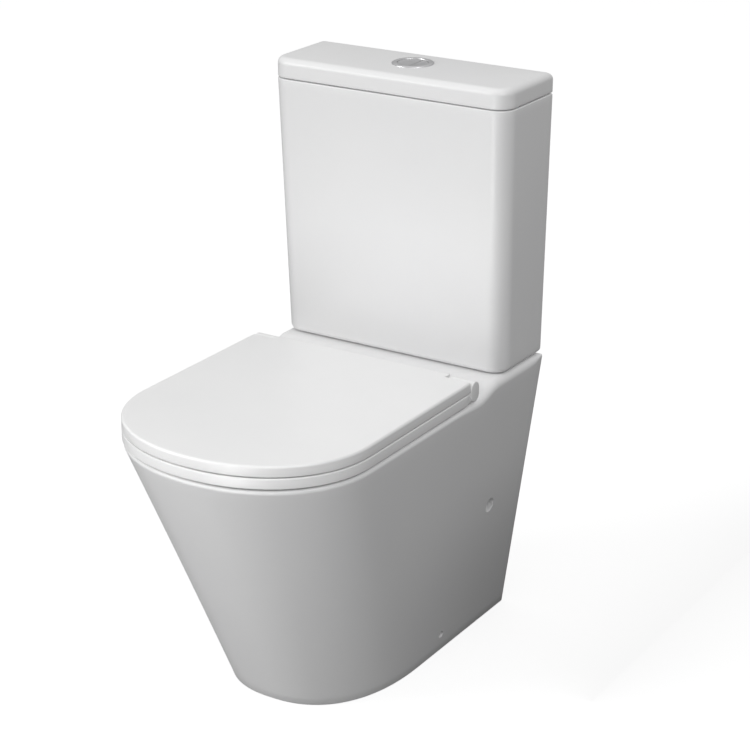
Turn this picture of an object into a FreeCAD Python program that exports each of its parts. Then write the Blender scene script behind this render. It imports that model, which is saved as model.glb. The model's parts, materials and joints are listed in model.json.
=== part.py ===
import FreeCAD, Part
import math
import os

# Close coupled, back-to-wall toilet: a floor standing pan with a hollow skirt, a slim cistern on its deck,
# a lift-off lid with a dual flush button, and a D-shaped seat and cover on soft-close hinges.
#
# Units are millimetres. +X is the sitter's left, +Y points to the wall, +Z is up.
# The origin is on the floor, in the middle of the object's outline.

V = FreeCAD.Vector
AXIS_X = V(1, 0, 0)
AXIS_Y = V(0, 1, 0)
AXIS_Z = V(0, 0, 1)
SIDES = (-1, 1)
OVERSHOOT = 1.0  # how far a cutting tool reaches past the face that it opens

# ---- overall ----
DEPTH = 603.0
BACK_Y = DEPTH / 2
FRONT_Y = -DEPTH / 2

# ---- pan ----
RIM_Z = 395.0
DECK_Z = 409.0
PAN_WALL = 12.0
RIM_HALF_WIDTH = 180.0
DECK_HALF_WIDTH = 183.8
RIM_ROUND_Y = -147.0  # where the straight sides of the rim turn into its rounded front
RIM_POWER = 2.12
FLOOR_HALF_WIDTH = 128.9
FLOOR_ROUND_Y = 62.2
FLOOR_ROUND_DEPTH = 187.5
FLOOR_POWER = 2.42
DECK_RAMP_START_Y = 128.0
DECK_RAMP_END_Y = 176.0
SHELF_THICKNESS = 16.0
OUTLINE_STEPS = 28

# ---- bowl and waterways ----
BOWL_WALL = 11.0
BOWL_SECTIONS = (  # height, half width, half length, centre along Y
    (RIM_Z + OVERSHOOT, 129.0, 169.0, -94.0),
    (365.0, 123.0, 161.0, -91.0),
    (310.0, 108.0, 138.0, -80.0),
    (240.0, 84.0, 102.0, -52.0),
    (170.0, 58.0, 66.0, -14.0),
    (110.0, 41.0, 45.0, 8.0),
    (64.0, 33.0, 36.0, 14.0),
)
BOWL_POWER = 2.25
TRAP_BORE_RADIUS = 28.0
TRAP_WALL = 9.0
TRAP_BEND_RADIUS = 44.0
TRAP_ROUTE = ((14.0, 95.0), (78.0, 92.0), (128.0, 196.0), (186.0, 184.0))
OUTLET_Z = 185.0
OUTLET_RADIUS = 51.0
OUTLET_BORE_RADIUS = 43.0
OUTLET_START_Y = 172.0
OUTLET_END_Y = 246.0

# ---- cistern ----
CISTERN_SEAM = 1.6
CISTERN_BASE_Z = DECK_Z + CISTERN_SEAM
CISTERN_TOP_Z = 788.6
CISTERN_TOP_HALF_WIDTH = 188.6
CISTERN_BASE_HALF_WIDTH = 181.4
CISTERN_TOP_FRONT_Y = 171.1
CISTERN_BASE_FRONT_Y = 185.4
CISTERN_CORNER = 26.0
CISTERN_REAR_CORNER = 10.0
BLANK_OVERHANG = 20.0  # the blanks of cistern and lid reach past the wall and are cut flat there
CISTERN_WALL = 9.0
CISTERN_FLOOR = 12.0
CISTERN_LOWER_EDGE_RADIUS = 7.0
LID_Z = CISTERN_TOP_Z + 1.6
LID_TOP_Z = 818.3
LID_SKIN = 8.0
LID_EDGE_RADIUS = 9.0
LID_LIP_DROP = 7.0
LID_LIP_GAP = 2.5
LID_LIP = 5.0

# ---- dual flush button ----
KINDS = ("full", "half")
VALVE_Y = 243.5
BEZEL_RADIUS = 29.5
BEZEL_BORE_RADIUS = 21.6
BEZEL_HEIGHT = 2.0
BEZEL_EDGE_RADIUS = 0.8
BUTTON_RADIUS = 21.2
BUTTON_SPLIT_X = 5.0
BUTTON_GAP = 0.8
BUTTON_THICKNESS = 5.0
BUTTON_TOP_Z = LID_TOP_Z + 1.2
HOUSING_RADIUS = 23.6
HOUSING_BASE_Z = 782.0
HOUSING_FLOOR = 3.0
LID_HOLE_RADIUS = 24.5
LOCK_NUT_RADIUS = 31.0
LOCK_NUT_HEIGHT = 7.0
ROD_X = {"full": -11.0, "half": 12.0}
LANE_Y = {"full": -6.0, "half": 6.0}  # each lever and its rod keep to one side of the valve's middle
ROD_RADIUS = 2.6
ROD_CLEARANCE = 0.5
SPRING_RADIUS = 4.4
SPRING_WIRE = 0.9
SPRING_TURNS = 6

# ---- flush levers ----
LEVER_ARM = 20.0
LEVER_REACH = 26.0
LEVER_Z = 742.0
LEVER_PIVOT_X = {"full": ROD_X["full"] + LEVER_ARM, "half": ROD_X["half"] - LEVER_ARM}
LEVER_THICKNESS = 4.0
LEVER_WIDTH = 6.0
LEVER_TILT = 10.0
LEVER_PIN_RADIUS = 1.5
CHEEKS_Y = ((-12.0, -9.6), (-2.4, 2.4), (9.6, 12.0))
CHEEK_HALF_LENGTH = 14.0
CHEEK_MARGIN = 5.0
YOKE_INNER_X = 40.0
YOKE_OUTER_X = 46.0
HOOK_Z = LEVER_Z - 1.2
HOOK_THICKNESS = 4.0
HOOK_REACH = 9.0

# ---- flush valve ----
CISTERN_FLOOR_Z = CISTERN_BASE_Z + CISTERN_FLOOR
FLOOR_WASHER = 3.0
BASE_FLANGE = 5.0
BASE_TOP_Z = CISTERN_FLOOR_Z + FLOOR_WASHER + BASE_FLANGE
VALVE_SEAT_Z = 442.0
VALVE_BASE_RADIUS = 37.0
VALVE_TAIL_RADIUS = 29.0
VALVE_BORE_RADIUS = 24.0
TAIL_END_Z = 374.0
CAGE_RADIUS = 33.5
CAGE_POST_RADIUS = 2.5
CAGE_RING = 6.0
CAGE_MIDDLE_Z = 640.0
GUIDE_WALL = 2.0
HEAD_Z = 716.0
HEAD_PLATE = 4.0
CORE_RADIUS = 13.0
CORE_BORE_RADIUS = 10.0
CORE_TOP_Z = 698.0
CORE_ARM_Z = 688.0
CORE_ARM_HEIGHT = 7.0
CORE_FLANGE_RADIUS = 28.0
CORE_FLANGE = 4.0
SEAL_THICKNESS = 3.0
SEAL_GAP = 0.2
TRIP_FOOT_Z = 600.0
TRIP_CAP_RADIUS = 7.0
TRIP_CAP_HEIGHT = 12.0
SLIDE_GAP = 0.4

# ---- fill valve ----
FILL_X = -125.0
FILL_THREAD_RADIUS = 10.48  # G 1/2
FILL_THREAD_LENGTH = 24.0
FILL_TAIL_RADIUS = 10.2
FILL_TAIL_LENGTH = 48.0
FILL_BORE_RADIUS = 6.0
FILL_FLANGE_RADIUS = 17.0
FILL_RISER_RADIUS = 11.0
FILL_HEAD_Z = 690.0
FILL_HEAD_RADIUS = 19.0
FILL_HEAD_HEIGHT = 20.0
FILL_NUT_FLATS = 30.0
FILL_NUT_HEIGHT = 8.0
FLOAT_RADIUS = 26.0
FLOAT_Z = 600.0
FLOAT_HEIGHT = 58.0
FLOAT_ARM_HEIGHT = 6.0
FLOAT_PIVOT_X = -26.0  # from the riser's middle
FLOAT_LEVER_Z = 726.0
FLOAT_LEVER_ARM = 60.0
FLOAT_LEVER_WIDTH = 9.0
FLOAT_LEVER_TILT = 11.5
FLOAT_ROD_CLEARANCE = 0.9

# ---- close coupling ----
CHINA = 10.0
CHINA_GAP = 1.0
DUCT_Z = 342.0
DUCT_START_Y = 60.0
DUCT_HALF_WIDTH = 27.0
WELL_SHELF_Z = 366.0
WELL_RADIUS = 46.0
SHELF_BOTTOM_Z = RIM_Z - SHELF_THICKNESS
BACK_NUT_HEIGHT = 14.0
BACK_NUT_FLATS = 76.0
GASKET_RADIUS = 44.0
COUPLING_X = 72.0
COUPLING_HOLE_RADIUS = 6.5
COUPLING_BOLT_RADIUS = 4.0
COUPLING_HEAD_RADIUS = 10.0
COUPLING_HEAD = 4.0
COUPLING_END_Z = 352.0
COUPLING_RUBBER = 4.0
COUPLING_RUBBER_RADIUS = 12.0
COUPLING_WASHER_RADIUS = 13.0
WASHER = 2.0
WING_NUT_HEIGHT = 13.0
WING_NUT_RADIUS = 8.0
WING_SPAN = 34.0
WING_THICKNESS = 3.6
INLET_HOLE_RADIUS = 23.0
CISTERN_PAD_RADIUS = 9.0
CISTERN_PAD_X = 148.0
CISTERN_PAD_Y = (210.0, 285.0)
LID_PAD_RADIUS = 3.5
LID_PAD_Y = (205.0, 285.0)

# ---- seat and cover ----
SEAT_Z = 398.0
SEAT_TOP_Z = 412.6
SEAT_REAR_Y = 100.5
SEAT_HOLE_HALF_WIDTH = 114.0
SEAT_HOLE_FRONT_Y = -228.0
SEAT_HOLE_REAR_Y = 42.0
SEAT_BUFFER_RADIUS = 9.0
SEAT_BUFFER_PLACES = ((150.0, 60.0), (96.0, -238.0))
COVER_Z = 414.4
COVER_TOP_Z = 429.5
COVER_SKIN = 5.0
COVER_EDGE = 8.0
COVER_REAR_Y = 117.5
COVER_HOLLOW_REAR_Y = 96.0
COVER_BOSS_RADIUS = 8.0
COVER_BUFFER_RADIUS = 7.0
COVER_BUFFER_PLACES = ((150.0, 20.0), (96.0, -238.0))
CONTACT_GAP = 0.2

# ---- hinges ----
HINGE_Y = 114.5
HINGE_Z = 415.0
HINGE_SPACING = 155.0
HINGE_SIDE_GAP = 0.6
SHAFT_RADIUS = 4.0
SHAFT_END_X = 174.0
RUNNING_GAP = 0.06
EAR_RADIUS = 11.0
EAR_DROP = 6.0
EAR_RISE = 1.0
EAR_INNER_X = 140.0
EAR_OUTER_X = 181.0
POST_RADIUS = 9.0
POST_HEAD_RADIUS = 9.5
POST_HEAD_WIDTH = 22.0
LUG_INNER_X = (54.0, 65.6)
LUG_OUTER_X = (128.0, 139.4)
LUG_DAMPER_X = (89.5, 127.0)
COVER_BARREL_RADIUS = 9.0
DAMPER_RADIUS = 7.5
STUD_RADIUS = 4.0
STUD_SOCKET = 6.0
STUD_END_Z = 354.0
BUSH_RADIUS = 7.0
BUSH_GAP = 0.1
HINGE_WASHER_RADIUS = 13.0

# ---- floor fixing ----
SIDE_HOLE_Y = 205.5
SIDE_HOLE_Z = 202.0
SIDE_HOLE_RADIUS = 11.0
SCREW_Y = 112.5
SCREW_Z = 28.0
SCREW_HEAD_RADIUS = 5.0
SCREW_HEAD_HEIGHT = 2.6
SCREW_RADIUS = 2.5
SCREW_HEAD_GAP = 0.3
SCREW_GAP = 0.8
SCREW_SEAT_X = 126.0
SCREW_END_X = 103.0
SCREW_SLOT = 1.2
BRACKET_FACE_X = 115.0
BRACKET_THICKNESS = 6.0
BRACKET_LENGTH = 42.0
BRACKET_HEIGHT = 46.0
BRACKET_HALF_WIDTH = 17.0
FLOOR_HOLE_RADIUS = 3.5
FLOOR_HOLE_X = 90.0


# ---------------------------------------------------------------- shape helpers


def box(x0, x1, y0, y1, z0, z1):
    return Part.makeBox(x1 - x0, y1 - y0, z1 - z0, V(x0, y0, z0))


def rod(radius, start, axis, length):
    return Part.makeCylinder(radius, length, start, axis)


def tube(outer, inner, start, axis, length):
    cutter = rod(inner, start - axis * OVERSHOOT, axis, length + 2 * OVERSHOOT)
    return rod(outer, start, axis, length).cut(cutter)


def fuse(shapes):
    return shapes[0].multiFuse(shapes[1:]).removeSplitter()


def mirrored(shape):
    return shape.mirror(V(0, 0, 0), AXIS_X)


def group(shapes):
    return Part.makeCompound(shapes)


def superellipse_point(angle, half_x, half_y, power):
    """A point of a superellipse about the origin; a power of 2 is an ellipse."""
    c = math.cos(angle)
    s = math.sin(angle)
    x = half_x * math.copysign(abs(c) ** (2 / power), c)
    y = half_y * math.copysign(abs(s) ** (2 / power), s)
    return x, y


def front_points(half_x, round_y, depth, power, z):
    """The rounded front of a D outline, from +X round to -X."""
    points = []
    for step in range(OUTLINE_STEPS + 1):
        x, y = superellipse_point(-math.pi * step / OUTLINE_STEPS, half_x, depth, power)
        points.append(V(x, round_y + y, z))
    return points


def d_wire(points, half_rear, rear_y):
    """A closed D outline: a straight rear, straight sides and the given rounded front."""
    curve = Part.BSplineCurve()
    curve.interpolate(Points=points, InitialTangent=V(0, -1, 0), FinalTangent=V(0, 1, 0))
    z = points[0].z
    rear_left = V(-half_rear, rear_y, z)
    rear_right = V(half_rear, rear_y, z)
    return Part.Wire([
        Part.makeLine(rear_left, rear_right),
        Part.makeLine(rear_right, points[0]),
        curve.toShape(),
        Part.makeLine(points[-1], rear_left),
    ])


def d_prism(half_x, rear_y, round_y, depth, power, z0, z1):
    points = front_points(half_x, round_y, depth, power, z0)
    return Part.Face(d_wire(points, half_x, rear_y)).extrude(V(0, 0, z1 - z0))


def oval_wire(half_x, half_y, centre_y, power, z):
    points = []
    for step in range(2 * OUTLINE_STEPS):
        x, y = superellipse_point(math.pi * step / OUTLINE_STEPS, half_x, half_y, power)
        points.append(V(x, centre_y + y, z))
    curve = Part.BSplineCurve()
    curve.interpolate(Points=points, PeriodicFlag=True)
    return Part.Wire(curve.toShape())


def rounded_wire(half_x, front_y, rear_y, front_radius, rear_radius, z):
    """A rectangle with rounded corners, anticlockwise from the front left."""
    corners = (
        (V(-half_x, front_y, z), front_radius),
        (V(half_x, front_y, z), front_radius),
        (V(half_x, rear_y, z), rear_radius),
        (V(-half_x, rear_y, z), rear_radius),
    )
    arcs = []
    for index, (corner, radius) in enumerate(corners):
        before = (corners[index - 1][0] - corner).normalize()
        after = (corners[(index + 1) % 4][0] - corner).normalize()
        start = corner + before * radius
        end = corner + after * radius
        centre = corner + (before + after) * radius
        middle = centre + (corner - centre).normalize() * radius
        arcs.append((start, middle, end))
    edges = []
    for index, (start, middle, end) in enumerate(arcs):
        edges.append(Part.Arc(start, middle, end).toShape())
        edges.append(Part.makeLine(end, arcs[(index + 1) % 4][0]))
    return Part.Wire(edges)


def hexagon_nut(across_flats, bore, start, axis, height):
    corner = across_flats / math.sqrt(3)
    angles = [math.radians(60 * k) for k in range(7)]
    outline = Part.makePolygon([V(corner * math.cos(a), corner * math.sin(a), 0) for a in angles])
    nut = Part.Face(outline).extrude(V(0, 0, height))
    nut.Placement = FreeCAD.Placement(start, FreeCAD.Rotation(AXIS_Z, axis))
    return nut.cut(rod(bore, start - axis * OVERSHOOT, axis, height + 2 * OVERSHOOT))


def wing_nut(bore, top):
    """A plastic wing nut about a vertical stud; top is the middle of its top face."""
    base = top - AXIS_Z * WING_NUT_HEIGHT
    hub = rod(WING_NUT_RADIUS, base, AXIS_Z, WING_NUT_HEIGHT)
    half = WING_THICKNESS / 2
    reach = WING_SPAN / 2
    wings = box(-half, half, -reach, reach, 0, WING_NUT_HEIGHT * 0.8)
    wings.translate(base)
    body = fuse([hub, wings])
    return body.cut(rod(bore, base - AXIS_Z * OVERSHOOT, AXIS_Z, WING_NUT_HEIGHT + 2 * OVERSHOOT))


def bent_pipe(points, bend_radius, radius):
    """A round pipe along straight runs joined by tangent arcs."""
    edges = []
    start = points[0]
    for index in range(1, len(points) - 1):
        corner = points[index]
        back = (points[index - 1] - corner).normalize()
        ahead = (points[index + 1] - corner).normalize()
        half_angle = back.getAngle(ahead) / 2
        reach = bend_radius / math.tan(half_angle)
        arc_start = corner + back * reach
        arc_end = corner + ahead * reach
        bisector = (back + ahead).normalize()
        centre = corner + bisector * (bend_radius / math.sin(half_angle))
        edges.append(Part.makeLine(start, arc_start))
        edges.append(Part.Arc(arc_start, centre - bisector * bend_radius, arc_end).toShape())
        start = arc_end
    edges.append(Part.makeLine(start, points[-1]))
    path = Part.Wire(edges)
    profile = Part.Wire(Part.makeCircle(radius, points[0], (points[1] - points[0]).normalize()))
    return path.makePipeShell([profile], True, True)


# ---------------------------------------------------------------- pan


def pan_outline(z, inset, rear_y):
    """The skirt's outline at a height: every wall is straight from the floor outline to the rim outline."""
    share = z / RIM_Z
    rim = front_points(RIM_HALF_WIDTH - inset, RIM_ROUND_Y, RIM_ROUND_Y - FRONT_Y - inset, RIM_POWER, z)
    foot = front_points(FLOOR_HALF_WIDTH - inset, FLOOR_ROUND_Y, FLOOR_ROUND_DEPTH - inset, FLOOR_POWER, z)
    points = [low + (high - low) * share for low, high in zip(foot, rim)]
    half_rear = FLOOR_HALF_WIDTH + (DECK_HALF_WIDTH - FLOOR_HALF_WIDTH) * share - inset
    return d_wire(points, half_rear, rear_y)


def deck_profile_cutter():
    """Everything above the rim, the ramp and the deck, as a prism across the pan."""
    far = 2 * RIM_HALF_WIDTH
    top = DECK_Z + 3 * SHELF_THICKNESS
    half = (DECK_RAMP_END_Y - DECK_RAMP_START_Y) / 2
    ramp = Part.BezierCurve()
    ramp.setPoles([
        V(-far, DECK_RAMP_START_Y, RIM_Z),
        V(-far, DECK_RAMP_START_Y + half, RIM_Z),
        V(-far, DECK_RAMP_START_Y + half, DECK_Z),
        V(-far, DECK_RAMP_END_Y, DECK_Z),
    ])
    front = FRONT_Y - far
    rear = BACK_Y + far
    outline = Part.Wire([
        Part.makeLine(V(-far, front, top), V(-far, front, RIM_Z)),
        Part.makeLine(V(-far, front, RIM_Z), V(-far, DECK_RAMP_START_Y, RIM_Z)),
        ramp.toShape(),
        Part.makeLine(V(-far, DECK_RAMP_END_Y, DECK_Z), V(-far, rear, DECK_Z)),
        Part.makeLine(V(-far, rear, DECK_Z), V(-far, rear, top)),
        Part.makeLine(V(-far, rear, top), V(-far, front, top)),
    ])
    return Part.Face(outline).extrude(V(2 * far, 0, 0))


def bowl_solid(wall):
    wires = []
    for z, half_x, half_y, centre_y in BOWL_SECTIONS:
        wires.append(oval_wire(half_x + wall, half_y + wall, centre_y, BOWL_POWER, z - wall))
    return Part.makeLoft(wires, True, False)


def skirt_shell():
    above_deck = DECK_Z + 2 * OVERSHOOT
    outer = Part.makeLoft([pan_outline(0, 0, BACK_Y), pan_outline(above_deck, 0, BACK_Y)], True, True)
    inside_top = RIM_Z - SHELF_THICKNESS
    cavity = Part.makeLoft([
        pan_outline(-OVERSHOOT, PAN_WALL, BACK_Y + OVERSHOOT),
        pan_outline(inside_top, PAN_WALL, BACK_Y + OVERSHOOT),
    ], True, True)
    return outer.cut(deck_profile_cutter()).cut(cavity)


def trap_points():
    return [V(0, y, z) for y, z in TRAP_ROUTE]


def bowl_block():
    """The bowl with its wall, up to the underside of the rim."""
    below_rim = box(-DECK_HALF_WIDTH, DECK_HALF_WIDTH, FRONT_Y, BACK_Y, 0, SHELF_BOTTOM_Z)
    return bowl_solid(BOWL_WALL).common(below_rim)


def trapway_block():
    """The trap and the outlet spigot behind the bowl, without their bores."""
    outlet = rod(OUTLET_RADIUS, V(0, OUTLET_START_Y, OUTLET_Z), AXIS_Y, OUTLET_END_Y - OUTLET_START_Y)
    trap = bent_pipe(trap_points(), TRAP_BEND_RADIUS, TRAP_BORE_RADIUS + TRAP_WALL)
    return fuse([outlet, trap]).cut(bowl_block())


def water_well():
    """The china around the water well and the duct that takes the flush water to the bowl."""
    bottom = DUCT_Z - CHINA
    well = rod(WELL_RADIUS + CHINA, V(0, VALVE_Y, bottom), AXIS_Z, RIM_Z - DUCT_Z)
    half_width = DUCT_HALF_WIDTH + CHINA
    duct = box(-half_width, half_width, DUCT_START_Y, VALVE_Y, bottom, SHELF_BOTTOM_Z + OVERSHOOT)
    return fuse([well, duct]).cut(bowl_block())


def waterways():
    """The inside of the bowl, the trap, the outlet and the way in for the flush water."""
    deep = 2 * SHELF_THICKNESS
    outlet_start = V(0, OUTLET_START_Y + TRAP_WALL, OUTLET_Z)
    return [
        bowl_solid(0.0),
        bent_pipe(trap_points(), TRAP_BEND_RADIUS, TRAP_BORE_RADIUS),
        rod(OUTLET_BORE_RADIUS, outlet_start, AXIS_Y, OUTLET_END_Y - OUTLET_START_Y),
        rod(WELL_RADIUS, V(0, VALVE_Y, WELL_SHELF_Z), AXIS_Z, deep + SHELF_THICKNESS),
        rod(DUCT_HALF_WIDTH, V(0, VALVE_Y, DUCT_Z), AXIS_Z, deep),
        box(-DUCT_HALF_WIDTH, DUCT_HALF_WIDTH, DUCT_START_Y - CHINA, VALVE_Y, DUCT_Z, WELL_SHELF_Z),
    ]


def pan_holes():
    """The fixing, inlet and access holes of the skirt and the deck."""
    below = SHELF_BOTTOM_Z - SHELF_THICKNESS
    deep = 4 * SHELF_THICKNESS
    deck_holes = [(INLET_HOLE_RADIUS, FILL_X, VALVE_Y)]
    side_holes = []
    for side in SIDES:
        deck_holes.append((BUSH_RADIUS, side * HINGE_SPACING / 2, HINGE_Y))
        deck_holes.append((COUPLING_HOLE_RADIUS, side * COUPLING_X, VALVE_Y))
        side_holes.append((SIDE_HOLE_RADIUS, side * OUTLET_RADIUS * 2, SIDE_HOLE_Y, SIDE_HOLE_Z, side))
        side_holes.append((SCREW_HEAD_RADIUS + SCREW_HEAD_GAP, side * SCREW_SEAT_X, SCREW_Y, SCREW_Z, side))
        side_holes.append((SCREW_RADIUS + SCREW_GAP, side * BRACKET_FACE_X, SCREW_Y, SCREW_Z, side))
    holes = [rod(radius, V(x, y, below), AXIS_Z, deep) for radius, x, y in deck_holes]
    for radius, x, y, z, side in side_holes:
        holes.append(rod(radius, V(x, y, z), AXIS_X * side, DECK_HALF_WIDTH))
    return holes


def cut_all(body, tools):
    for tool in tools:
        body = body.cut(tool)
    return body


def pan_skirt():
    """The foot, skirt, rim and deck, with the water well under the deck."""
    tools = waterways() + [bowl_block(), trapway_block()] + pan_holes()
    return cut_all(fuse([skirt_shell(), water_well()]), tools)


def pan_bowl():
    return cut_all(bowl_block(), waterways())


def pan_trapway():
    return cut_all(trapway_block(), waterways())


# ---------------------------------------------------------------- cistern and lid


def cistern_wire(z, inset):
    share = (z - CISTERN_BASE_Z) / (CISTERN_TOP_Z - CISTERN_BASE_Z)
    half = CISTERN_BASE_HALF_WIDTH + (CISTERN_TOP_HALF_WIDTH - CISTERN_BASE_HALF_WIDTH) * share - inset
    front = CISTERN_BASE_FRONT_Y + (CISTERN_TOP_FRONT_Y - CISTERN_BASE_FRONT_Y) * share + inset
    rear_y = BACK_Y - inset if inset else BACK_Y + BLANK_OVERHANG
    return rounded_wire(half, front, rear_y, CISTERN_CORNER - inset, CISTERN_REAR_CORNER, z)


def flat_back(blank):
    """Cuts a blank flat where it meets the wall."""
    return blank.cut(box(-BACK_Y, BACK_Y, BACK_Y, 2 * BACK_Y, 0, 2 * CISTERN_TOP_Z))


def cistern():
    outer = Part.makeLoft([cistern_wire(CISTERN_BASE_Z, 0), cistern_wire(CISTERN_TOP_Z, 0)], True, True)
    base_edges = [edge for edge in outer.Edges if edge.BoundBox.ZMax < CISTERN_BASE_Z + 0.1
                  and edge.BoundBox.YMin < BACK_Y - CISTERN_CORNER]
    outer = flat_back(outer.makeFillet(CISTERN_LOWER_EDGE_RADIUS, base_edges))
    cavity = Part.makeLoft([
        cistern_wire(CISTERN_FLOOR_Z, CISTERN_WALL),
        cistern_wire(CISTERN_TOP_Z + OVERSHOOT, CISTERN_WALL),
    ], True, True)
    places = [(VALVE_TAIL_RADIUS + CHINA_GAP, 0), (FILL_TAIL_RADIUS + CHINA_GAP, FILL_X)]
    places += [(COUPLING_HOLE_RADIUS, side * COUPLING_X) for side in SIDES]
    holes = [rod(radius, V(x, VALVE_Y, DECK_Z), AXIS_Z, 3 * CISTERN_FLOOR) for radius, x in places]
    return cut_all(outer, [cavity] + holes)


def lid_block(inset, z0, z1):
    rear_y = BACK_Y - inset if inset else BACK_Y + BLANK_OVERHANG
    wire = rounded_wire(CISTERN_TOP_HALF_WIDTH - inset, CISTERN_TOP_FRONT_Y + inset, rear_y,
                        CISTERN_CORNER - inset, CISTERN_REAR_CORNER, z0)
    return Part.Face(wire).extrude(V(0, 0, z1 - z0))


def cistern_lid():
    lip_inset = CISTERN_WALL + LID_LIP_GAP
    slab = lid_block(0, LID_Z, LID_TOP_Z)
    top_edges = [edge for edge in slab.Edges if edge.BoundBox.ZMin > LID_TOP_Z - 0.1
                 and edge.BoundBox.YMin < BACK_Y - CISTERN_CORNER]
    slab = flat_back(slab.makeFillet(LID_EDGE_RADIUS, top_edges))
    lip = lid_block(lip_inset, LID_Z - LID_LIP_DROP, LID_Z + OVERSHOOT)
    recess = lid_block(lip_inset + LID_LIP, LID_Z - 2 * LID_LIP_DROP, LID_TOP_Z - LID_SKIN)
    hole = rod(LID_HOLE_RADIUS, V(0, VALVE_Y, LID_Z), AXIS_Z, 2 * (LID_TOP_Z - LID_Z))
    return cut_all(fuse([slab, lip]), [recess, hole])


def lid_pads():
    x = CISTERN_TOP_HALF_WIDTH - CISTERN_WALL / 2
    return group([rod(LID_PAD_RADIUS, V(side * x, y, CISTERN_TOP_Z), AXIS_Z, LID_Z - CISTERN_TOP_Z)
                  for side in SIDES for y in LID_PAD_Y])


def cistern_pads():
    return group([rod(CISTERN_PAD_RADIUS, V(side * CISTERN_PAD_X, y, DECK_Z), AXIS_Z, CISTERN_SEAM)
                  for side in SIDES for y in CISTERN_PAD_Y])


# ---------------------------------------------------------------- dual flush button


def button_bezel():
    ring = tube(BEZEL_RADIUS, BEZEL_BORE_RADIUS, V(0, VALVE_Y, LID_TOP_Z), AXIS_Z, BEZEL_HEIGHT)
    rounded = [edge for edge in ring.Edges if edge.BoundBox.ZMin > LID_TOP_Z + BEZEL_HEIGHT - 0.1]
    return ring.makeFillet(BEZEL_EDGE_RADIUS, rounded)


def button_housing():
    height = LID_TOP_Z - HOUSING_BASE_Z
    barrel = tube(HOUSING_RADIUS, BEZEL_BORE_RADIUS, V(0, VALVE_Y, HOUSING_BASE_Z), AXIS_Z, height)
    floor = rod(HOUSING_RADIUS, V(0, VALVE_Y, HOUSING_BASE_Z), AXIS_Z, HOUSING_FLOOR)
    housing = fuse([barrel, floor])
    for kind in KINDS:
        hole = V(ROD_X[kind], VALVE_Y + LANE_Y[kind], HOUSING_BASE_Z - OVERSHOOT)
        housing = housing.cut(rod(ROD_RADIUS + SLIDE_GAP, hole, AXIS_Z, HOUSING_FLOOR + 2 * OVERSHOOT))
    return housing


def button_lock_nut():
    z = LID_TOP_Z - LID_SKIN - LOCK_NUT_HEIGHT
    return tube(LOCK_NUT_RADIUS, HOUSING_RADIUS, V(0, VALVE_Y, z), AXIS_Z, LOCK_NUT_HEIGHT)


def flush_button(kind):
    bottom = BUTTON_TOP_Z - BUTTON_THICKNESS
    disc = rod(BUTTON_RADIUS, V(0, VALVE_Y, bottom), AXIS_Z, BUTTON_THICKNESS)
    reach = 2 * BUTTON_RADIUS
    if kind == "full":
        x0, x1 = -reach, BUTTON_SPLIT_X - BUTTON_GAP / 2
    else:
        x0, x1 = BUTTON_SPLIT_X + BUTTON_GAP / 2, reach
    keep = box(x0, x1, VALVE_Y - reach, VALVE_Y + reach, bottom, BUTTON_TOP_Z)
    return disc.common(keep)


def push_rod(kind):
    top = BUTTON_TOP_Z - BUTTON_THICKNESS
    pad_z = LEVER_Z + LEVER_ARM * math.sin(math.radians(LEVER_TILT)) + LEVER_THICKNESS / 2 + ROD_CLEARANCE
    start = V(ROD_X[kind], VALVE_Y + LANE_Y[kind], pad_z)
    return rod(ROD_RADIUS, start, AXIS_Z, top - pad_z)


def button_spring(kind):
    """A coil of flat wire between the housing's floor and the button."""
    z0 = HOUSING_BASE_Z + HOUSING_FLOOR
    height = BUTTON_TOP_Z - BUTTON_THICKNESS - z0
    rise = height - SPRING_WIRE
    helix = Part.makeHelix(rise / SPRING_TURNS, rise, SPRING_RADIUS)
    half = SPRING_WIRE / 2
    corners = ((-half, 0), (half, 0), (half, SPRING_WIRE), (-half, SPRING_WIRE), (-half, 0))
    section = Part.makePolygon([V(SPRING_RADIUS + x, 0, z) for x, z in corners])
    spring = Part.Wire(helix.Edges).makePipeShell([section], True, True)
    spring.translate(V(ROD_X[kind], VALVE_Y + LANE_Y[kind], z0))
    return spring


# ---------------------------------------------------------------- flush valve


def flush_valve_base():
    sections = (
        (VALVE_TAIL_RADIUS, TAIL_END_Z, CISTERN_FLOOR_Z + FLOOR_WASHER),
        (VALVE_BASE_RADIUS, CISTERN_FLOOR_Z + FLOOR_WASHER, BASE_TOP_Z),
        (VALVE_TAIL_RADIUS, BASE_TOP_Z, VALVE_SEAT_Z),
    )
    parts = []
    for radius, z0, z1 in sections:
        parts.append(tube(radius, VALVE_BORE_RADIUS, V(0, VALVE_Y, z0), AXIS_Z, z1 - z0))
    return fuse(parts)


def flush_valve_washer():
    return tube(VALVE_BASE_RADIUS, VALVE_TAIL_RADIUS, V(0, VALVE_Y, CISTERN_FLOOR_Z), AXIS_Z, FLOOR_WASHER)


def flush_valve_back_nut():
    z = CISTERN_BASE_Z - BACK_NUT_HEIGHT
    return hexagon_nut(BACK_NUT_FLATS, VALVE_TAIL_RADIUS, V(0, VALVE_Y, z), AXIS_Z, BACK_NUT_HEIGHT)


def close_coupling_gasket():
    z = CISTERN_BASE_Z - BACK_NUT_HEIGHT
    return tube(GASKET_RADIUS, VALVE_TAIL_RADIUS, V(0, VALVE_Y, WELL_SHELF_Z), AXIS_Z, z - WELL_SHELF_Z)


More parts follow.
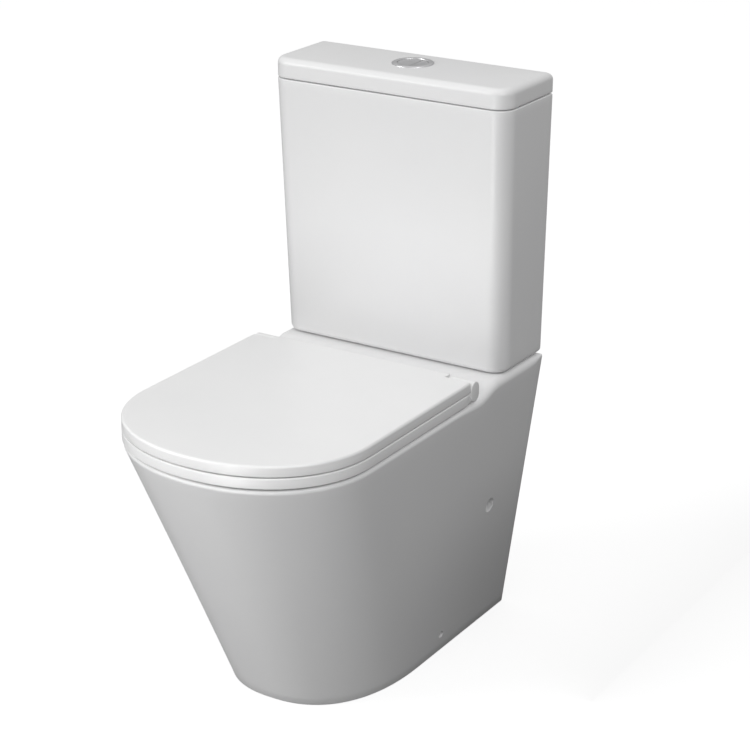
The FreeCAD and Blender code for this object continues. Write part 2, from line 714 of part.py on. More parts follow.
def flush_valve_cage():
    outer = CAGE_RADIUS + CAGE_POST_RADIUS
    inner = CAGE_RADIUS - CAGE_POST_RADIUS
    parts = [tube(outer, inner, V(0, VALVE_Y, z), AXIS_Z, CAGE_RING) for z in (BASE_TOP_Z, CAGE_MIDDLE_Z)]
    for quarter in range(4):
        angle = math.radians(45 + 90 * quarter)
        foot = V(CAGE_RADIUS * math.cos(angle), VALVE_Y + CAGE_RADIUS * math.sin(angle), BASE_TOP_Z)
        parts.append(rod(CAGE_POST_RADIUS, foot, AXIS_Z, HEAD_Z - BASE_TOP_Z))
    lane = VALVE_Y + LANE_Y["half"]
    wide = LEVER_WIDTH / 2 + GUIDE_WALL
    guide_x = YOKE_OUTER_X + 2 * GUIDE_WALL
    ring_top = CAGE_MIDDLE_Z + CAGE_RING
    parts.append(box(-guide_x, -CAGE_RADIUS, lane - wide, lane + wide, CAGE_MIDDLE_Z, ring_top))
    cage = fuse(parts)
    slot = LEVER_WIDTH / 2 + SLIDE_GAP
    return cage.cut(box(-YOKE_OUTER_X - SLIDE_GAP, -YOKE_INNER_X + SLIDE_GAP, lane - slot, lane + slot,
                        CAGE_MIDDLE_Z - OVERSHOOT, ring_top + OVERSHOOT))


def flush_valve_head():
    """The cap of the cage, with three cheeks that carry the two lever pins."""
    parts = [rod(CAGE_RADIUS + CAGE_POST_RADIUS, V(0, VALVE_Y, HEAD_Z), AXIS_Z, HEAD_PLATE)]
    cheek_top = LEVER_Z + CHEEK_MARGIN
    half = CHEEK_HALF_LENGTH
    for y0, y1 in CHEEKS_Y:
        parts.append(box(-half, half, VALVE_Y + y0, VALVE_Y + y1, HEAD_Z, cheek_top))
    head = fuse(parts)
    for pin in lever_pin_solids():
        head = head.cut(pin)
    return head


def lever_pin_solids():
    pins = []
    for kind in KINDS:
        sign = math.copysign(1, LANE_Y[kind])
        start = V(LEVER_PIVOT_X[kind], VALVE_Y + sign, LEVER_Z)
        pins.append(rod(LEVER_PIN_RADIUS, start, AXIS_Y * sign, CHEEKS_Y[2][1] - 1))
    return pins


def lever_pins():
    return group(lever_pin_solids())


def flush_lever(kind):
    """A rocker: the push rod bears on its short end, and its long end lifts."""
    pivot = V(LEVER_PIVOT_X[kind], VALVE_Y + LANE_Y[kind] - LEVER_WIDTH / 2, LEVER_Z)
    sign = math.copysign(1, LEVER_PIVOT_X[kind])
    bar = box(-LEVER_ARM - 4, LEVER_REACH + 3, 0, LEVER_WIDTH, -LEVER_THICKNESS / 2, LEVER_THICKNESS / 2)
    hub = rod(LEVER_PIN_RADIUS + 2.2, V(0, 0, 0), AXIS_Y, LEVER_WIDTH)
    lever = fuse([bar, hub]).cut(rod(LEVER_PIN_RADIUS + RUNNING_GAP, V(0, -1, 0), AXIS_Y, LEVER_WIDTH + 2))
    if sign < 0:
        lever = lever.mirror(V(0, 0, 0), AXIS_X)
    lever.rotate(V(0, 0, 0), AXIS_Y, sign * LEVER_TILT)
    lever.translate(pivot)
    return lever


def yoke(kind, foot_z):
    """A hook that hangs on the lifting end of a lever, and its upright."""
    lane = VALVE_Y + LANE_Y[kind]
    y0 = lane - LEVER_WIDTH / 2
    y1 = lane + LEVER_WIDTH / 2
    upright = box(YOKE_INNER_X, YOKE_OUTER_X, y0, y1, foot_z, HOOK_Z + HOOK_THICKNESS)
    hook = box(YOKE_INNER_X - HOOK_REACH, YOKE_OUTER_X, y0, y1, HOOK_Z, HOOK_Z + HOOK_THICKNESS)
    return [upright, hook]


def flush_valve_core():
    """The lifting overflow tube: a sealing flange at its foot and an arm at its top."""
    tube_start = V(0, VALVE_Y, VALVE_SEAT_Z - 6)
    lane = VALVE_Y + LANE_Y["full"]
    half = LEVER_WIDTH / 2
    arm = box(0, YOKE_OUTER_X, lane - half, lane + half, CORE_ARM_Z, CORE_ARM_Z + CORE_ARM_HEIGHT)
    parts = [
        rod(CORE_RADIUS, tube_start, AXIS_Z, CORE_TOP_Z - tube_start.z),
        rod(CORE_FLANGE_RADIUS, V(0, VALVE_Y, VALVE_SEAT_Z + SEAL_THICKNESS), AXIS_Z, CORE_FLANGE),
        arm,
    ]
    body = fuse(parts + yoke("full", CORE_ARM_Z))
    return body.cut(rod(CORE_BORE_RADIUS, tube_start - AXIS_Z, AXIS_Z, CORE_TOP_Z - tube_start.z + 2))


def core_seal():
    z = VALVE_SEAT_Z + SEAL_GAP
    return tube(CORE_FLANGE_RADIUS, CORE_RADIUS, V(0, VALVE_Y, z), AXIS_Z, SEAL_THICKNESS - SEAL_GAP)


def half_flush_trip():
    """The slide that ends a part flush early: a hook, an upright through the guide, and a vent cap."""
    upright, hook = yoke("half", TRIP_FOOT_Z)
    middle_x = (YOKE_INNER_X + YOKE_OUTER_X) / 2
    cap_base = V(middle_x, VALVE_Y + LANE_Y["half"], TRIP_FOOT_Z - TRIP_CAP_HEIGHT)
    cap = rod(TRIP_CAP_RADIUS, cap_base, AXIS_Z, TRIP_CAP_HEIGHT)
    return mirrored(fuse([upright, hook, cap]))


# ---------------------------------------------------------------- fill valve


def fill_valve_riser():
    tail_z = CISTERN_FLOOR_Z + FLOOR_WASHER - FILL_TAIL_LENGTH
    parts = [
        rod(FILL_TAIL_RADIUS, V(FILL_X, VALVE_Y, tail_z), AXIS_Z, FILL_TAIL_LENGTH),
        rod(FILL_THREAD_RADIUS, V(FILL_X, VALVE_Y, tail_z), AXIS_Z, FILL_THREAD_LENGTH),
        rod(FILL_FLANGE_RADIUS, V(FILL_X, VALVE_Y, CISTERN_FLOOR_Z + FLOOR_WASHER), AXIS_Z, BASE_FLANGE),
        rod(FILL_RISER_RADIUS, V(FILL_X, VALVE_Y, BASE_TOP_Z), AXIS_Z, FILL_HEAD_Z - BASE_TOP_Z),
    ]
    return fuse(parts).cut(rod(FILL_BORE_RADIUS, V(FILL_X, VALVE_Y, 300), AXIS_Z, 600))


def fill_valve_washer():
    base = V(FILL_X, VALVE_Y, CISTERN_FLOOR_Z)
    return tube(FILL_FLANGE_RADIUS, FILL_TAIL_RADIUS, base, AXIS_Z, FLOOR_WASHER)


def fill_valve_back_nut():
    z = CISTERN_BASE_Z - FILL_NUT_HEIGHT
    return hexagon_nut(FILL_NUT_FLATS, FILL_TAIL_RADIUS, V(FILL_X, VALVE_Y, z), AXIS_Z, FILL_NUT_HEIGHT)


def fill_valve_head():
    pivot_x = FILL_X + FLOAT_PIVOT_X
    parts = [rod(FILL_HEAD_RADIUS, V(FILL_X, VALVE_Y, FILL_HEAD_Z), AXIS_Z, FILL_HEAD_HEIGHT)]
    for side in SIDES:
        inner = FLOAT_LEVER_WIDTH / 2 + 0.5
        outer = inner + 3
        y0, y1 = sorted((VALVE_Y + side * inner, VALVE_Y + side * outer))
        parts.append(box(pivot_x - 4, pivot_x + 12, y0, y1, FILL_HEAD_Z + 6, FLOAT_LEVER_Z + 4))
    return fuse(parts).cut(float_lever_pin())


def float_lever_pin():
    half = FLOAT_LEVER_WIDTH / 2 + 3.5
    return rod(LEVER_PIN_RADIUS, V(FILL_X + FLOAT_PIVOT_X, VALVE_Y - half, FLOAT_LEVER_Z), AXIS_Y, 2 * half)


def float_lever():
    length = FLOAT_LEVER_ARM + 4
    half = FLOAT_LEVER_WIDTH / 2
    bar = box(0, length, -half, half, -LEVER_THICKNESS / 2, LEVER_THICKNESS / 2)
    hub = rod(LEVER_PIN_RADIUS + 2, V(0, -half, 0), AXIS_Y, 2 * half)
    bore = rod(LEVER_PIN_RADIUS + RUNNING_GAP, V(0, -half - OVERSHOOT, 0), AXIS_Y, 2 * (half + OVERSHOOT))
    lever = fuse([bar, hub]).cut(bore)
    lever.rotate(V(0, 0, 0), AXIS_Y, FLOAT_LEVER_TILT)
    lever.translate(V(FILL_X + FLOAT_PIVOT_X, VALVE_Y, FLOAT_LEVER_Z))
    return lever


def float_cup():
    """A cup upside down on the riser, with the rod that lifts the lever."""
    start = V(FILL_X, VALVE_Y, FLOAT_Z)
    cup = tube(FLOAT_RADIUS, FILL_RISER_RADIUS + SLIDE_GAP, start, AXIS_Z, FLOAT_HEIGHT)
    hollow = tube(FLOAT_RADIUS - 2, FILL_RISER_RADIUS + 3, start - AXIS_Z, AXIS_Z, FLOAT_HEIGHT - 2)
    tilt = math.radians(FLOAT_LEVER_TILT)
    rod_x = FILL_X + FLOAT_PIVOT_X + FLOAT_LEVER_ARM * math.cos(tilt)
    arm_z = FLOAT_Z + FLOAT_HEIGHT - FLOAT_ARM_HEIGHT
    lever_z = FLOAT_LEVER_Z - FLOAT_LEVER_ARM * math.sin(tilt)
    tip_z = lever_z - LEVER_THICKNESS / 2 - FLOAT_ROD_CLEARANCE
    half = FLOAT_ARM_HEIGHT / 2
    arm_start = FILL_X + FLOAT_RADIUS - half
    arm = box(arm_start, rod_x + half, VALVE_Y - half, VALVE_Y + half, arm_z, arm_z + FLOAT_ARM_HEIGHT)
    lift_rod = rod(2.0, V(rod_x, VALVE_Y, arm_z), AXIS_Z, tip_z - arm_z)
    return fuse([cup.cut(hollow), arm, lift_rod])


# ---------------------------------------------------------------- close coupling fixings


def coupling_positions():
    return [V(side * COUPLING_X, VALVE_Y, 0) for side in SIDES]


def coupling_bolts():
    head_z = CISTERN_FLOOR_Z + COUPLING_RUBBER
    bolts = []
    for place in coupling_positions():
        head = rod(COUPLING_HEAD_RADIUS, place + AXIS_Z * head_z, AXIS_Z, COUPLING_HEAD)
        shank = rod(COUPLING_BOLT_RADIUS, place + AXIS_Z * COUPLING_END_Z, AXIS_Z, head_z - COUPLING_END_Z)
        bolts.append(fuse([head, shank]))
    return group(bolts)


def coupling_rubber_washers():
    washers = []
    for place in coupling_positions():
        base = place + AXIS_Z * CISTERN_FLOOR_Z
        washers.append(tube(COUPLING_RUBBER_RADIUS, COUPLING_BOLT_RADIUS, base, AXIS_Z, COUPLING_RUBBER))
    return group(washers)


def coupling_steel_washers():
    washers = []
    for place in coupling_positions():
        base = place + AXIS_Z * (SHELF_BOTTOM_Z - WASHER)
        washers.append(tube(COUPLING_WASHER_RADIUS, COUPLING_BOLT_RADIUS, base, AXIS_Z, WASHER))
    return group(washers)


def coupling_wing_nuts():
    tops = [place + AXIS_Z * (SHELF_BOTTOM_Z - WASHER) for place in coupling_positions()]
    return group([wing_nut(COUPLING_BOLT_RADIUS, top) for top in tops])


# ---------------------------------------------------------------- seat and cover


def hinge_positions():
    return [V(side * HINGE_SPACING / 2, HINGE_Y, 0) for side in SIDES]


def both_sides(make):
    """Two mirrored solids, from a function that makes the one on the +X side."""
    right = make()
    return [right, mirrored(right)]


def across(radius, x0, x1):
    """A cylinder on the hinge axis, on the +X side."""
    return rod(radius, V(x0, HINGE_Y, HINGE_Z), AXIS_X, x1 - x0)


def hinge_ear():
    """The capsule-shaped end of the seat that holds the hinge shaft."""
    low = HINGE_Z - EAR_DROP
    high = HINGE_Z + EAR_RISE
    capsule = fuse([
        rod(EAR_RADIUS, V(EAR_INNER_X, HINGE_Y, low), AXIS_X, EAR_OUTER_X - EAR_INNER_X),
        rod(EAR_RADIUS, V(EAR_INNER_X, HINGE_Y, high), AXIS_X, EAR_OUTER_X - EAR_INNER_X),
        box(EAR_INNER_X, EAR_OUTER_X, HINGE_Y - EAR_RADIUS, HINGE_Y + EAR_RADIUS, low, high),
    ])
    bridge = box(EAR_INNER_X, RIM_HALF_WIDTH, SEAT_REAR_Y - 10, HINGE_Y, SEAT_Z, SEAT_TOP_Z)
    return fuse([capsule, bridge])


def seat_ring():
    depth = RIM_ROUND_Y - FRONT_Y
    ring = d_prism(RIM_HALF_WIDTH, SEAT_REAR_Y, RIM_ROUND_Y, depth, RIM_POWER, SEAT_Z, SEAT_TOP_Z)
    half_length = (SEAT_HOLE_REAR_Y - SEAT_HOLE_FRONT_Y) / 2
    middle = (SEAT_HOLE_REAR_Y + SEAT_HOLE_FRONT_Y) / 2
    hole = Part.Face(oval_wire(SEAT_HOLE_HALF_WIDTH, half_length, middle, BOWL_POWER, SEAT_Z - OVERSHOOT))
    ring = ring.cut(hole.extrude(V(0, 0, SEAT_TOP_Z - SEAT_Z + 2 * OVERSHOOT)))
    ring = fuse([ring] + both_sides(hinge_ear))
    bore = across(SHAFT_RADIUS + RUNNING_GAP, EAR_INNER_X - OVERSHOOT, SHAFT_END_X + OVERSHOOT)
    return cut_all(ring, [bore, mirrored(bore)])


def cover_lug(x0, x1):
    barrel = across(COVER_BARREL_RADIUS, x0, x1)
    web = box(x0, x1, HINGE_Y - COVER_BARREL_RADIUS, COVER_REAR_Y, HINGE_Z, COVER_TOP_Z - COVER_SKIN)
    return fuse([barrel, web])


def seat_cover():
    """A shell: a thin top with a deep edge, hollow underneath, and four lugs on the hinge axis."""
    depth = RIM_ROUND_Y - FRONT_Y
    inner = RIM_HALF_WIDTH - COVER_EDGE
    inner_depth = depth - COVER_EDGE
    below = COVER_Z - OVERSHOOT
    ceiling = COVER_TOP_Z - COVER_SKIN
    slab = d_prism(RIM_HALF_WIDTH, COVER_REAR_Y, RIM_ROUND_Y, depth, RIM_POWER, COVER_Z, COVER_TOP_Z)
    hollow = d_prism(inner, COVER_HOLLOW_REAR_Y, RIM_ROUND_Y, inner_depth, RIM_POWER, below, ceiling)
    lug_x = LUG_OUTER_X[0]
    behind = COVER_REAR_Y + OVERSHOOT
    hinge_space = box(-lug_x, lug_x, COVER_HOLLOW_REAR_Y - COVER_SKIN, behind, below, ceiling)
    notch_x = EAR_INNER_X - HINGE_SIDE_GAP
    notch = box(notch_x, 2 * RIM_HALF_WIDTH, HINGE_Y - EAR_RADIUS - 1, 2 * HINGE_Y, 0, 2 * HINGE_Z)
    parts = [cut_all(slab, [hollow, hinge_space, notch, mirrored(notch)])]
    for x0, x1 in (LUG_INNER_X, LUG_OUTER_X):
        lug = cover_lug(x0, x1)
        parts += [lug, mirrored(lug)]
    wall_x = LUG_INNER_X[0]
    parts.append(box(-wall_x, wall_x, COVER_REAR_Y - COVER_SKIN, COVER_REAR_Y, COVER_Z, ceiling))
    for place in cover_buffer_positions():
        parts.append(rod(COVER_BOSS_RADIUS, V(place.x, place.y, COVER_Z), AXIS_Z, ceiling - COVER_Z))
    bore = across(SHAFT_RADIUS + RUNNING_GAP, wall_x - 3 * OVERSHOOT, LUG_OUTER_X[1] + OVERSHOOT)
    return cut_all(fuse(parts), [bore, mirrored(bore)])


def cover_buffer_positions():
    return [V(side * x, y, 0) for side in SIDES for x, y in COVER_BUFFER_PLACES]


def cover_buffers():
    height = COVER_Z - SEAT_TOP_Z - CONTACT_GAP
    return group([rod(COVER_BUFFER_RADIUS, V(place.x, place.y, COVER_Z - height), AXIS_Z, height)
                  for place in cover_buffer_positions()])


def seat_buffers():
    bottom = RIM_Z + CONTACT_GAP
    places = [V(side * x, y, bottom) for side in SIDES for x, y in SEAT_BUFFER_PLACES]
    return group([rod(SEAT_BUFFER_RADIUS, place, AXIS_Z, SEAT_Z - bottom) for place in places])


def hinge_posts():
    posts = []
    for place in hinge_positions():
        base = place + AXIS_Z * SEAT_Z
        neck = rod(POST_RADIUS, base, AXIS_Z, HINGE_Z - SEAT_Z)
        start = V(place.x - POST_HEAD_WIDTH / 2, HINGE_Y, HINGE_Z)
        head = rod(POST_HEAD_RADIUS, start, AXIS_X, POST_HEAD_WIDTH)
        shaft_bore = rod(SHAFT_RADIUS, start - AXIS_X * OVERSHOOT, AXIS_X, POST_HEAD_WIDTH + 2 * OVERSHOOT)
        stud_socket = rod(STUD_RADIUS, base - AXIS_Z * OVERSHOOT, AXIS_Z, STUD_SOCKET + OVERSHOOT)
        posts.append(cut_all(fuse([neck, head]), [shaft_bore, stud_socket]))
    return group(posts)


def hinge_shafts():
    shaft = across(SHAFT_RADIUS, LUG_INNER_X[0] - 2 * OVERSHOOT, SHAFT_END_X)
    return group([shaft, mirrored(shaft)])


def hinge_dampers():
    x0, x1 = LUG_DAMPER_X
    damper = across(DAMPER_RADIUS, x0, x1).cut(across(SHAFT_RADIUS, x0 - OVERSHOOT, x1 + OVERSHOOT))
    return group([damper, mirrored(damper)])


def hinge_base_washers():
    return group([tube(HINGE_WASHER_RADIUS, STUD_RADIUS, place + AXIS_Z * RIM_Z, AXIS_Z, SEAT_Z - RIM_Z)
                  for place in hinge_positions()])


def hinge_studs():
    return group([rod(STUD_RADIUS, place + AXIS_Z * STUD_END_Z, AXIS_Z, SEAT_Z + STUD_SOCKET - STUD_END_Z)
                  for place in hinge_positions()])


def hinge_bushes():
    bases = [place + AXIS_Z * SHELF_BOTTOM_Z for place in hinge_positions()]
    outer = BUSH_RADIUS - BUSH_GAP
    return group([tube(outer, STUD_RADIUS, base, AXIS_Z, RIM_Z - SHELF_BOTTOM_Z) for base in bases])


def hinge_wing_nuts():
    tops = [place + AXIS_Z * SHELF_BOTTOM_Z for place in hinge_positions()]
    return group([wing_nut(STUD_RADIUS, top) for top in tops])


# ---------------------------------------------------------------- floor fixing


def floor_bracket():
    y0 = SCREW_Y - BRACKET_HALF_WIDTH
    y1 = SCREW_Y + BRACKET_HALF_WIDTH
    upright = box(BRACKET_FACE_X - BRACKET_THICKNESS, BRACKET_FACE_X, y0, y1, 0, BRACKET_HEIGHT)
    foot = box(BRACKET_FACE_X - BRACKET_LENGTH, BRACKET_FACE_X, y0, y1, 0, BRACKET_THICKNESS)
    floor_hole = rod(FLOOR_HOLE_RADIUS, V(FLOOR_HOLE_X, SCREW_Y, 0), AXIS_Z, BRACKET_THICKNESS)
    screw_hole = rod(SCREW_RADIUS, V(SCREW_END_X, SCREW_Y, SCREW_Z), AXIS_X, BRACKET_LENGTH)
    return cut_all(fuse([upright, foot]), [floor_hole, screw_hole])


def side_screw():
    """A round-headed screw with a slot, driven from outside."""
    head = rod(SCREW_HEAD_RADIUS, V(SCREW_SEAT_X, SCREW_Y, SCREW_Z), AXIS_X, SCREW_HEAD_HEIGHT)
    shank = rod(SCREW_RADIUS, V(SCREW_END_X, SCREW_Y, SCREW_Z), AXIS_X, SCREW_SEAT_X - SCREW_END_X)
    half = SCREW_SLOT / 2
    reach = SCREW_HEAD_RADIUS * 0.7
    slot_x = SCREW_SEAT_X + SCREW_HEAD_HEIGHT / 3
    slot = box(slot_x, slot_x + SCREW_HEAD_HEIGHT, SCREW_Y - half, SCREW_Y + half,
               SCREW_Z - reach, SCREW_Z + reach)
    return fuse([head, shank]).cut(slot)


def floor_brackets():
    return group(both_sides(floor_bracket))


def side_screws():
    return group(both_sides(side_screw))


NODES = {
    "pan_skirt": pan_skirt,
    "pan_bowl": pan_bowl,
    "pan_trapway": pan_trapway,
    "cistern": cistern,
    "cistern_lid": cistern_lid,
    "lid_pads": lid_pads,
    "cistern_pads": cistern_pads,
    "button_bezel": button_bezel,
    "button_housing": button_housing,
    "button_lock_nut": button_lock_nut,
    "full_flush_button": lambda: flush_button("full"),
    "half_flush_button": lambda: flush_button("half"),
    "full_flush_rod": lambda: push_rod("full"),
    "half_flush_rod": lambda: push_rod("half"),
    "full_flush_spring": lambda: button_spring("full"),
    "half_flush_spring": lambda: button_spring("half"),
    "flush_valve_base": flush_valve_base,
    "flush_valve_washer": flush_valve_washer,
    "flush_valve_back_nut": flush_valve_back_nut,
    "flush_valve_cage": flush_valve_cage,
    "flush_valve_head": flush_valve_head,
    "flush_valve_core": flush_valve_core,
    "core_seal": core_seal,
    "full_flush_lever": lambda: flush_lever("full"),
    "half_flush_lever": lambda: flush_lever("half"),
    "lever_pins": lever_pins,
    "half_flush_trip": half_flush_trip,
    "fill_valve_riser": fill_valve_riser,
    "fill_valve_washer": fill_valve_washer,
    "fill_valve_back_nut": fill_valve_back_nut,
    "fill_valve_head": fill_valve_head,
    "fill_valve_float": float_cup,
    "float_lever": float_lever,
    "float_lever_pin": float_lever_pin,
    "close_coupling_gasket": close_coupling_gasket,
    "coupling_bolts": coupling_bolts,
    "coupling_rubber_washers": coupling_rubber_washers,
    "coupling_steel_washers": coupling_steel_washers,
    "coupling_wing_nuts": coupling_wing_nuts,
    "seat_ring": seat_ring,
    "seat_buffers": seat_buffers,
    "seat_cover": seat_cover,
    "cover_buffers": cover_buffers,
    "hinge_posts": hinge_posts,
    "hinge_shafts": hinge_shafts,
    "hinge_dampers": hinge_dampers,
    "hinge_base_washers": hinge_base_washers,
    "hinge_studs": hinge_studs,
    "hinge_bushes": hinge_bushes,
    "hinge_wing_nuts": hinge_wing_nuts,
    "floor_brackets": floor_brackets,
    "side_screws": side_screws,
}


def main():
    os.makedirs("parts", exist_ok=True)
    for name, make in NODES.items():
        shape = make()
        print(f"{name}: {len(shape.Solids)} solids, {shape.Volume / 1000:.2f} cm3, valid {shape.isValid()}")
        shape.exportStep(f"parts/{name}.step")


main()
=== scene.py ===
import json
import math

import bmesh
import bpy
import numpy as np
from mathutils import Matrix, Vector


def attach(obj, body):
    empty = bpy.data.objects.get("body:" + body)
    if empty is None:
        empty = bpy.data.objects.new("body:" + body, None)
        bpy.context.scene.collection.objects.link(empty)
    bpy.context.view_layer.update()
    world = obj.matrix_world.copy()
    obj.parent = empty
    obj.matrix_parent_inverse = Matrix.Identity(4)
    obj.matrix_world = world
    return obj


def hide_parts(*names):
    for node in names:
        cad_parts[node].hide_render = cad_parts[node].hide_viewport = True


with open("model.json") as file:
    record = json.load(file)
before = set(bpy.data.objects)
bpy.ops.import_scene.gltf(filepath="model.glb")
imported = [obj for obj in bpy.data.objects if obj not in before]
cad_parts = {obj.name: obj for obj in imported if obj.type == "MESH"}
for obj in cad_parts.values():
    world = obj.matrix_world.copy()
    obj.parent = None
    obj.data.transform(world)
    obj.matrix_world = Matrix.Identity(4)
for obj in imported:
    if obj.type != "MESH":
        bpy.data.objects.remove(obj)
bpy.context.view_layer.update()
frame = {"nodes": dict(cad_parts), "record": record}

MM = 0.001
SIDES = (-1, 1)
BEVEL_SEGMENTS = 4

# ---------------------------------------------------------------- sizes, in millimetres

BACK_Y = 301.5
FRONT_Y = -301.5

RIM_Z = 395.0
DECK_Z = 409.0
RIM_HALF = 180.0
DECK_HALF = 183.8
FLOOR_HALF = 128.9
RIM_ROUND_Y = -147.0
RIM_DEPTH = RIM_ROUND_Y - FRONT_Y
RIM_POWER = 2.12
FLOOR_ROUND_Y = 62.2
FLOOR_DEPTH = 187.5
FLOOR_POWER = 2.42
PAN_REAR_CORNER = 4.0
PAN_WALL = 12.0
SHELF_BOTTOM_Z = 379.0
RAMP_Y = (126.0, 178.0)
RIM_RADIUS = 7.0
DECK_RADIUS = 12.0

BOWL_CENTRE_Y = -94.0
BOWL_POWER = 2.25
BOWL_SECTIONS = (  # height, half width, half length, centre along Y
    (395.0, 129.0, 169.0, -94.0),
    (365.0, 123.0, 161.0, -91.0),
    (310.0, 108.0, 138.0, -80.0),
    (240.0, 84.0, 102.0, -52.0),
    (170.0, 58.0, 66.0, -14.0),
    (110.0, 41.0, 45.0, 8.0),
    (64.0, 33.0, 36.0, 14.0),
)
LIP_RADIUS = 7.0

SEAT_Z = 398.0
SEAT_TOP_Z = 412.6
COVER_Z = 414.4
COVER_TOP_Z = 429.5
HINGE_Y = 114.5
HINGE_Z = 415.0
HINGE_POST_X = 77.5
BUSH_RADIUS = 7.0

VALVE_Y = 243.5
COUPLING_X = 72.0
COUPLING_HOLE_RADIUS = 6.5
INLET_X = -125.0
INLET_HOLE_RADIUS = 23.0

# ---------------------------------------------------------------- mesh helpers


def new_object(name, mesh):
    obj = bpy.data.objects.new(name, mesh)
    bpy.context.scene.collection.objects.link(obj)
    return obj


def mesh_object(name, points_mm, faces):
    mesh = bpy.data.meshes.new(name)
    mesh.from_pydata([tuple(float(c) * MM for c in p) for p in points_mm], [], faces)
    mesh.validate()
    mesh.update()
    return new_object(name, mesh)


def ring_solid(name, rings):
    """A closed solid through rings of 3D points in millimetres, all of one length, capped at both ends."""
    count = len(rings[0])
    points = np.concatenate(rings)
    faces = []
    for level in range(len(rings) - 1):
        low = level * count
        high = low + count
        for i in range(count):
            j = (i + 1) % count
            faces.append((low + i, low + j, high + j, high + i))
    faces.append(tuple(reversed(range(count))))
    last = (len(rings) - 1) * count
    faces.append(tuple(last + i for i in range(count)))
    obj = mesh_object(name, points, faces)
    outward(obj)
    return obj


def outward(obj):
    """Turns every face outwards."""
    work = bmesh.new()
    work.from_mesh(obj.data)
    bmesh.ops.remove_doubles(work, verts=work.verts, dist=1e-7)
    bmesh.ops.recalc_face_normals(work, faces=work.faces)
    work.to_mesh(obj.data)
    work.free()


def boolean(obj, other, operation):
    modifier = obj.modifiers.new("cut", "BOOLEAN")
    modifier.object = other
    modifier.operation = operation
    modifier.solver = "EXACT"
    depsgraph = bpy.context.evaluated_depsgraph_get()
    mesh = bpy.data.meshes.new_from_object(obj.evaluated_get(depsgraph))
    obj.modifiers.clear()
    old = obj.data
    obj.data = mesh
    bpy.data.meshes.remove(old)
    bpy.data.objects.remove(other)


def cut(obj, *cutters):
    for cutter in cutters:
        boolean(obj, cutter, "DIFFERENCE")


def join(obj, *others):
    for other in others:
        boolean(obj, other, "UNION")


def smooth(obj, angle):
    obj.data.polygons.foreach_set("use_smooth", [True] * len(obj.data.polygons))
    obj.data.set_sharp_from_angle(angle=math.radians(angle))
    obj.data.update()


def lathe(name, profile, centre, axis="Z", steps=64):
    """A closed solid of revolution.

    profile is (radius, height) pairs: a closed outline, or one that starts and ends on the axis.
    """
    points = []
    faces = []
    closed = profile[0][0] > 1e-6
    for radius, height in profile:
        for step in range(steps):
            angle = 2 * math.pi * step / steps
            points.append((radius * math.cos(angle), radius * math.sin(angle), height))
    rows = len(profile)
    for row in range(rows if closed else rows - 1):
        a = row * steps
        b = ((row + 1) % rows) * steps
        for i in range(steps):
            j = (i + 1) % steps
            faces.append((a + i, a + j, b + j, b + i))
    if axis == "X":
        points = [(z, x, y) for x, y, z in points]
    elif axis == "Y":
        points = [(y, z, x) for x, y, z in points]
    points = [(p[0] + centre[0], p[1] + centre[1], p[2] + centre[2]) for p in points]
    obj = mesh_object(name, points, faces)
    outward(obj)
    return obj


def cylinder(name, radius, start, length, axis="Z", bevel=0.0, steps=64):
    profile = [(0.0, 0.0)]
    if bevel > 0:
        inner = radius - bevel
        top = length - bevel
        profile += [(inner, 0.0)]
        profile += [(inner + bevel * math.sin(a), bevel - bevel * math.cos(a)) for a in arc_angles(6)]
        profile += [(inner + bevel * math.cos(a), top + bevel * math.sin(a)) for a in arc_angles(6)]
        profile += [(inner, length)]
    else:
        profile += [(radius, 0.0), (radius, length)]
    profile += [(0.0, length)]
    return lathe(name, profile, start, axis, steps)


def arc_angles(steps):
    return [0.5 * math.pi * k / steps for k in range(steps + 1)]


def block(name, low, high, bevel=0.0):
    work = bmesh.new()
    bmesh.ops.create_cube(work, size=1.0)
    size = Vector(high) - Vector(low)
    middle = (Vector(high) + Vector(low)) / 2
    bmesh.ops.scale(work, vec=size * MM, verts=work.verts)
    bmesh.ops.translate(work, vec=middle * MM, verts=work.verts)
    if bevel > 0:
        bmesh.ops.bevel(work, geom=work.edges, offset=bevel * MM, segments=BEVEL_SEGMENTS, profile=0.5,
                        affect="EDGES")
    mesh = bpy.data.meshes.new(name)
    work.to_mesh(mesh)
    work.free()
    return new_object(name, mesh)


def pipe(name, points_mm, radius, bend, steps=48):
    """A round pipe in the plane x = 0 along straight runs with rounded bends, as a closed solid."""
    spine = rounded_path([np.array(p, float) for p in points_mm], bend)
    rings = []
    for index, (y, z) in enumerate(spine):
        before = spine[max(index - 1, 0)]
        after = spine[min(index + 1, len(spine) - 1)]
        along = (after - before) / np.linalg.norm(after - before)
        up = np.array((-along[1], along[0]))
        ring = []
        for step in range(steps):
            angle = 2 * math.pi * step / steps
            offset = up * math.sin(angle) * radius
            ring.append((radius * math.cos(angle), y + offset[0], z + offset[1]))
        rings.append(np.array(ring))
    return ring_solid(name, rings)


def rounded_path(points, bend, steps=14):
    path = [points[0]]
    for before, corner, after in zip(points, points[1:], points[2:]):
        back = (before - corner) / np.linalg.norm(before - corner)
        ahead = (after - corner) / np.linalg.norm(after - corner)
        half = math.acos(float(np.clip(back @ ahead, -1, 1))) / 2
        reach = bend / math.tan(half)
        centre = corner + (back + ahead) / np.linalg.norm(back + ahead) * bend / math.sin(half)
        start = corner + back * reach - centre
        end = corner + ahead * reach - centre
        for step in range(steps + 1):
            share = step / steps
            direction = start * (1 - share) + end * share
            path.append(centre + direction / np.linalg.norm(direction) * bend)
    path.append(points[-1])
    return path


# ---------------------------------------------------------------- outlines


def superellipse(angle, half_x, half_y, power):
    c = math.cos(angle)
    s = math.sin(angle)
    x = half_x * math.copysign(abs(c) ** (2 / power), c)
    y = half_y * math.copysign(abs(s) ** (2 / power), s)
    return x, y


REAR_STEPS = 20
CORNER_STEPS = 8
SIDE_STEPS = 30
EDGE_STEPS = 12
FRONT_STEPS = 110


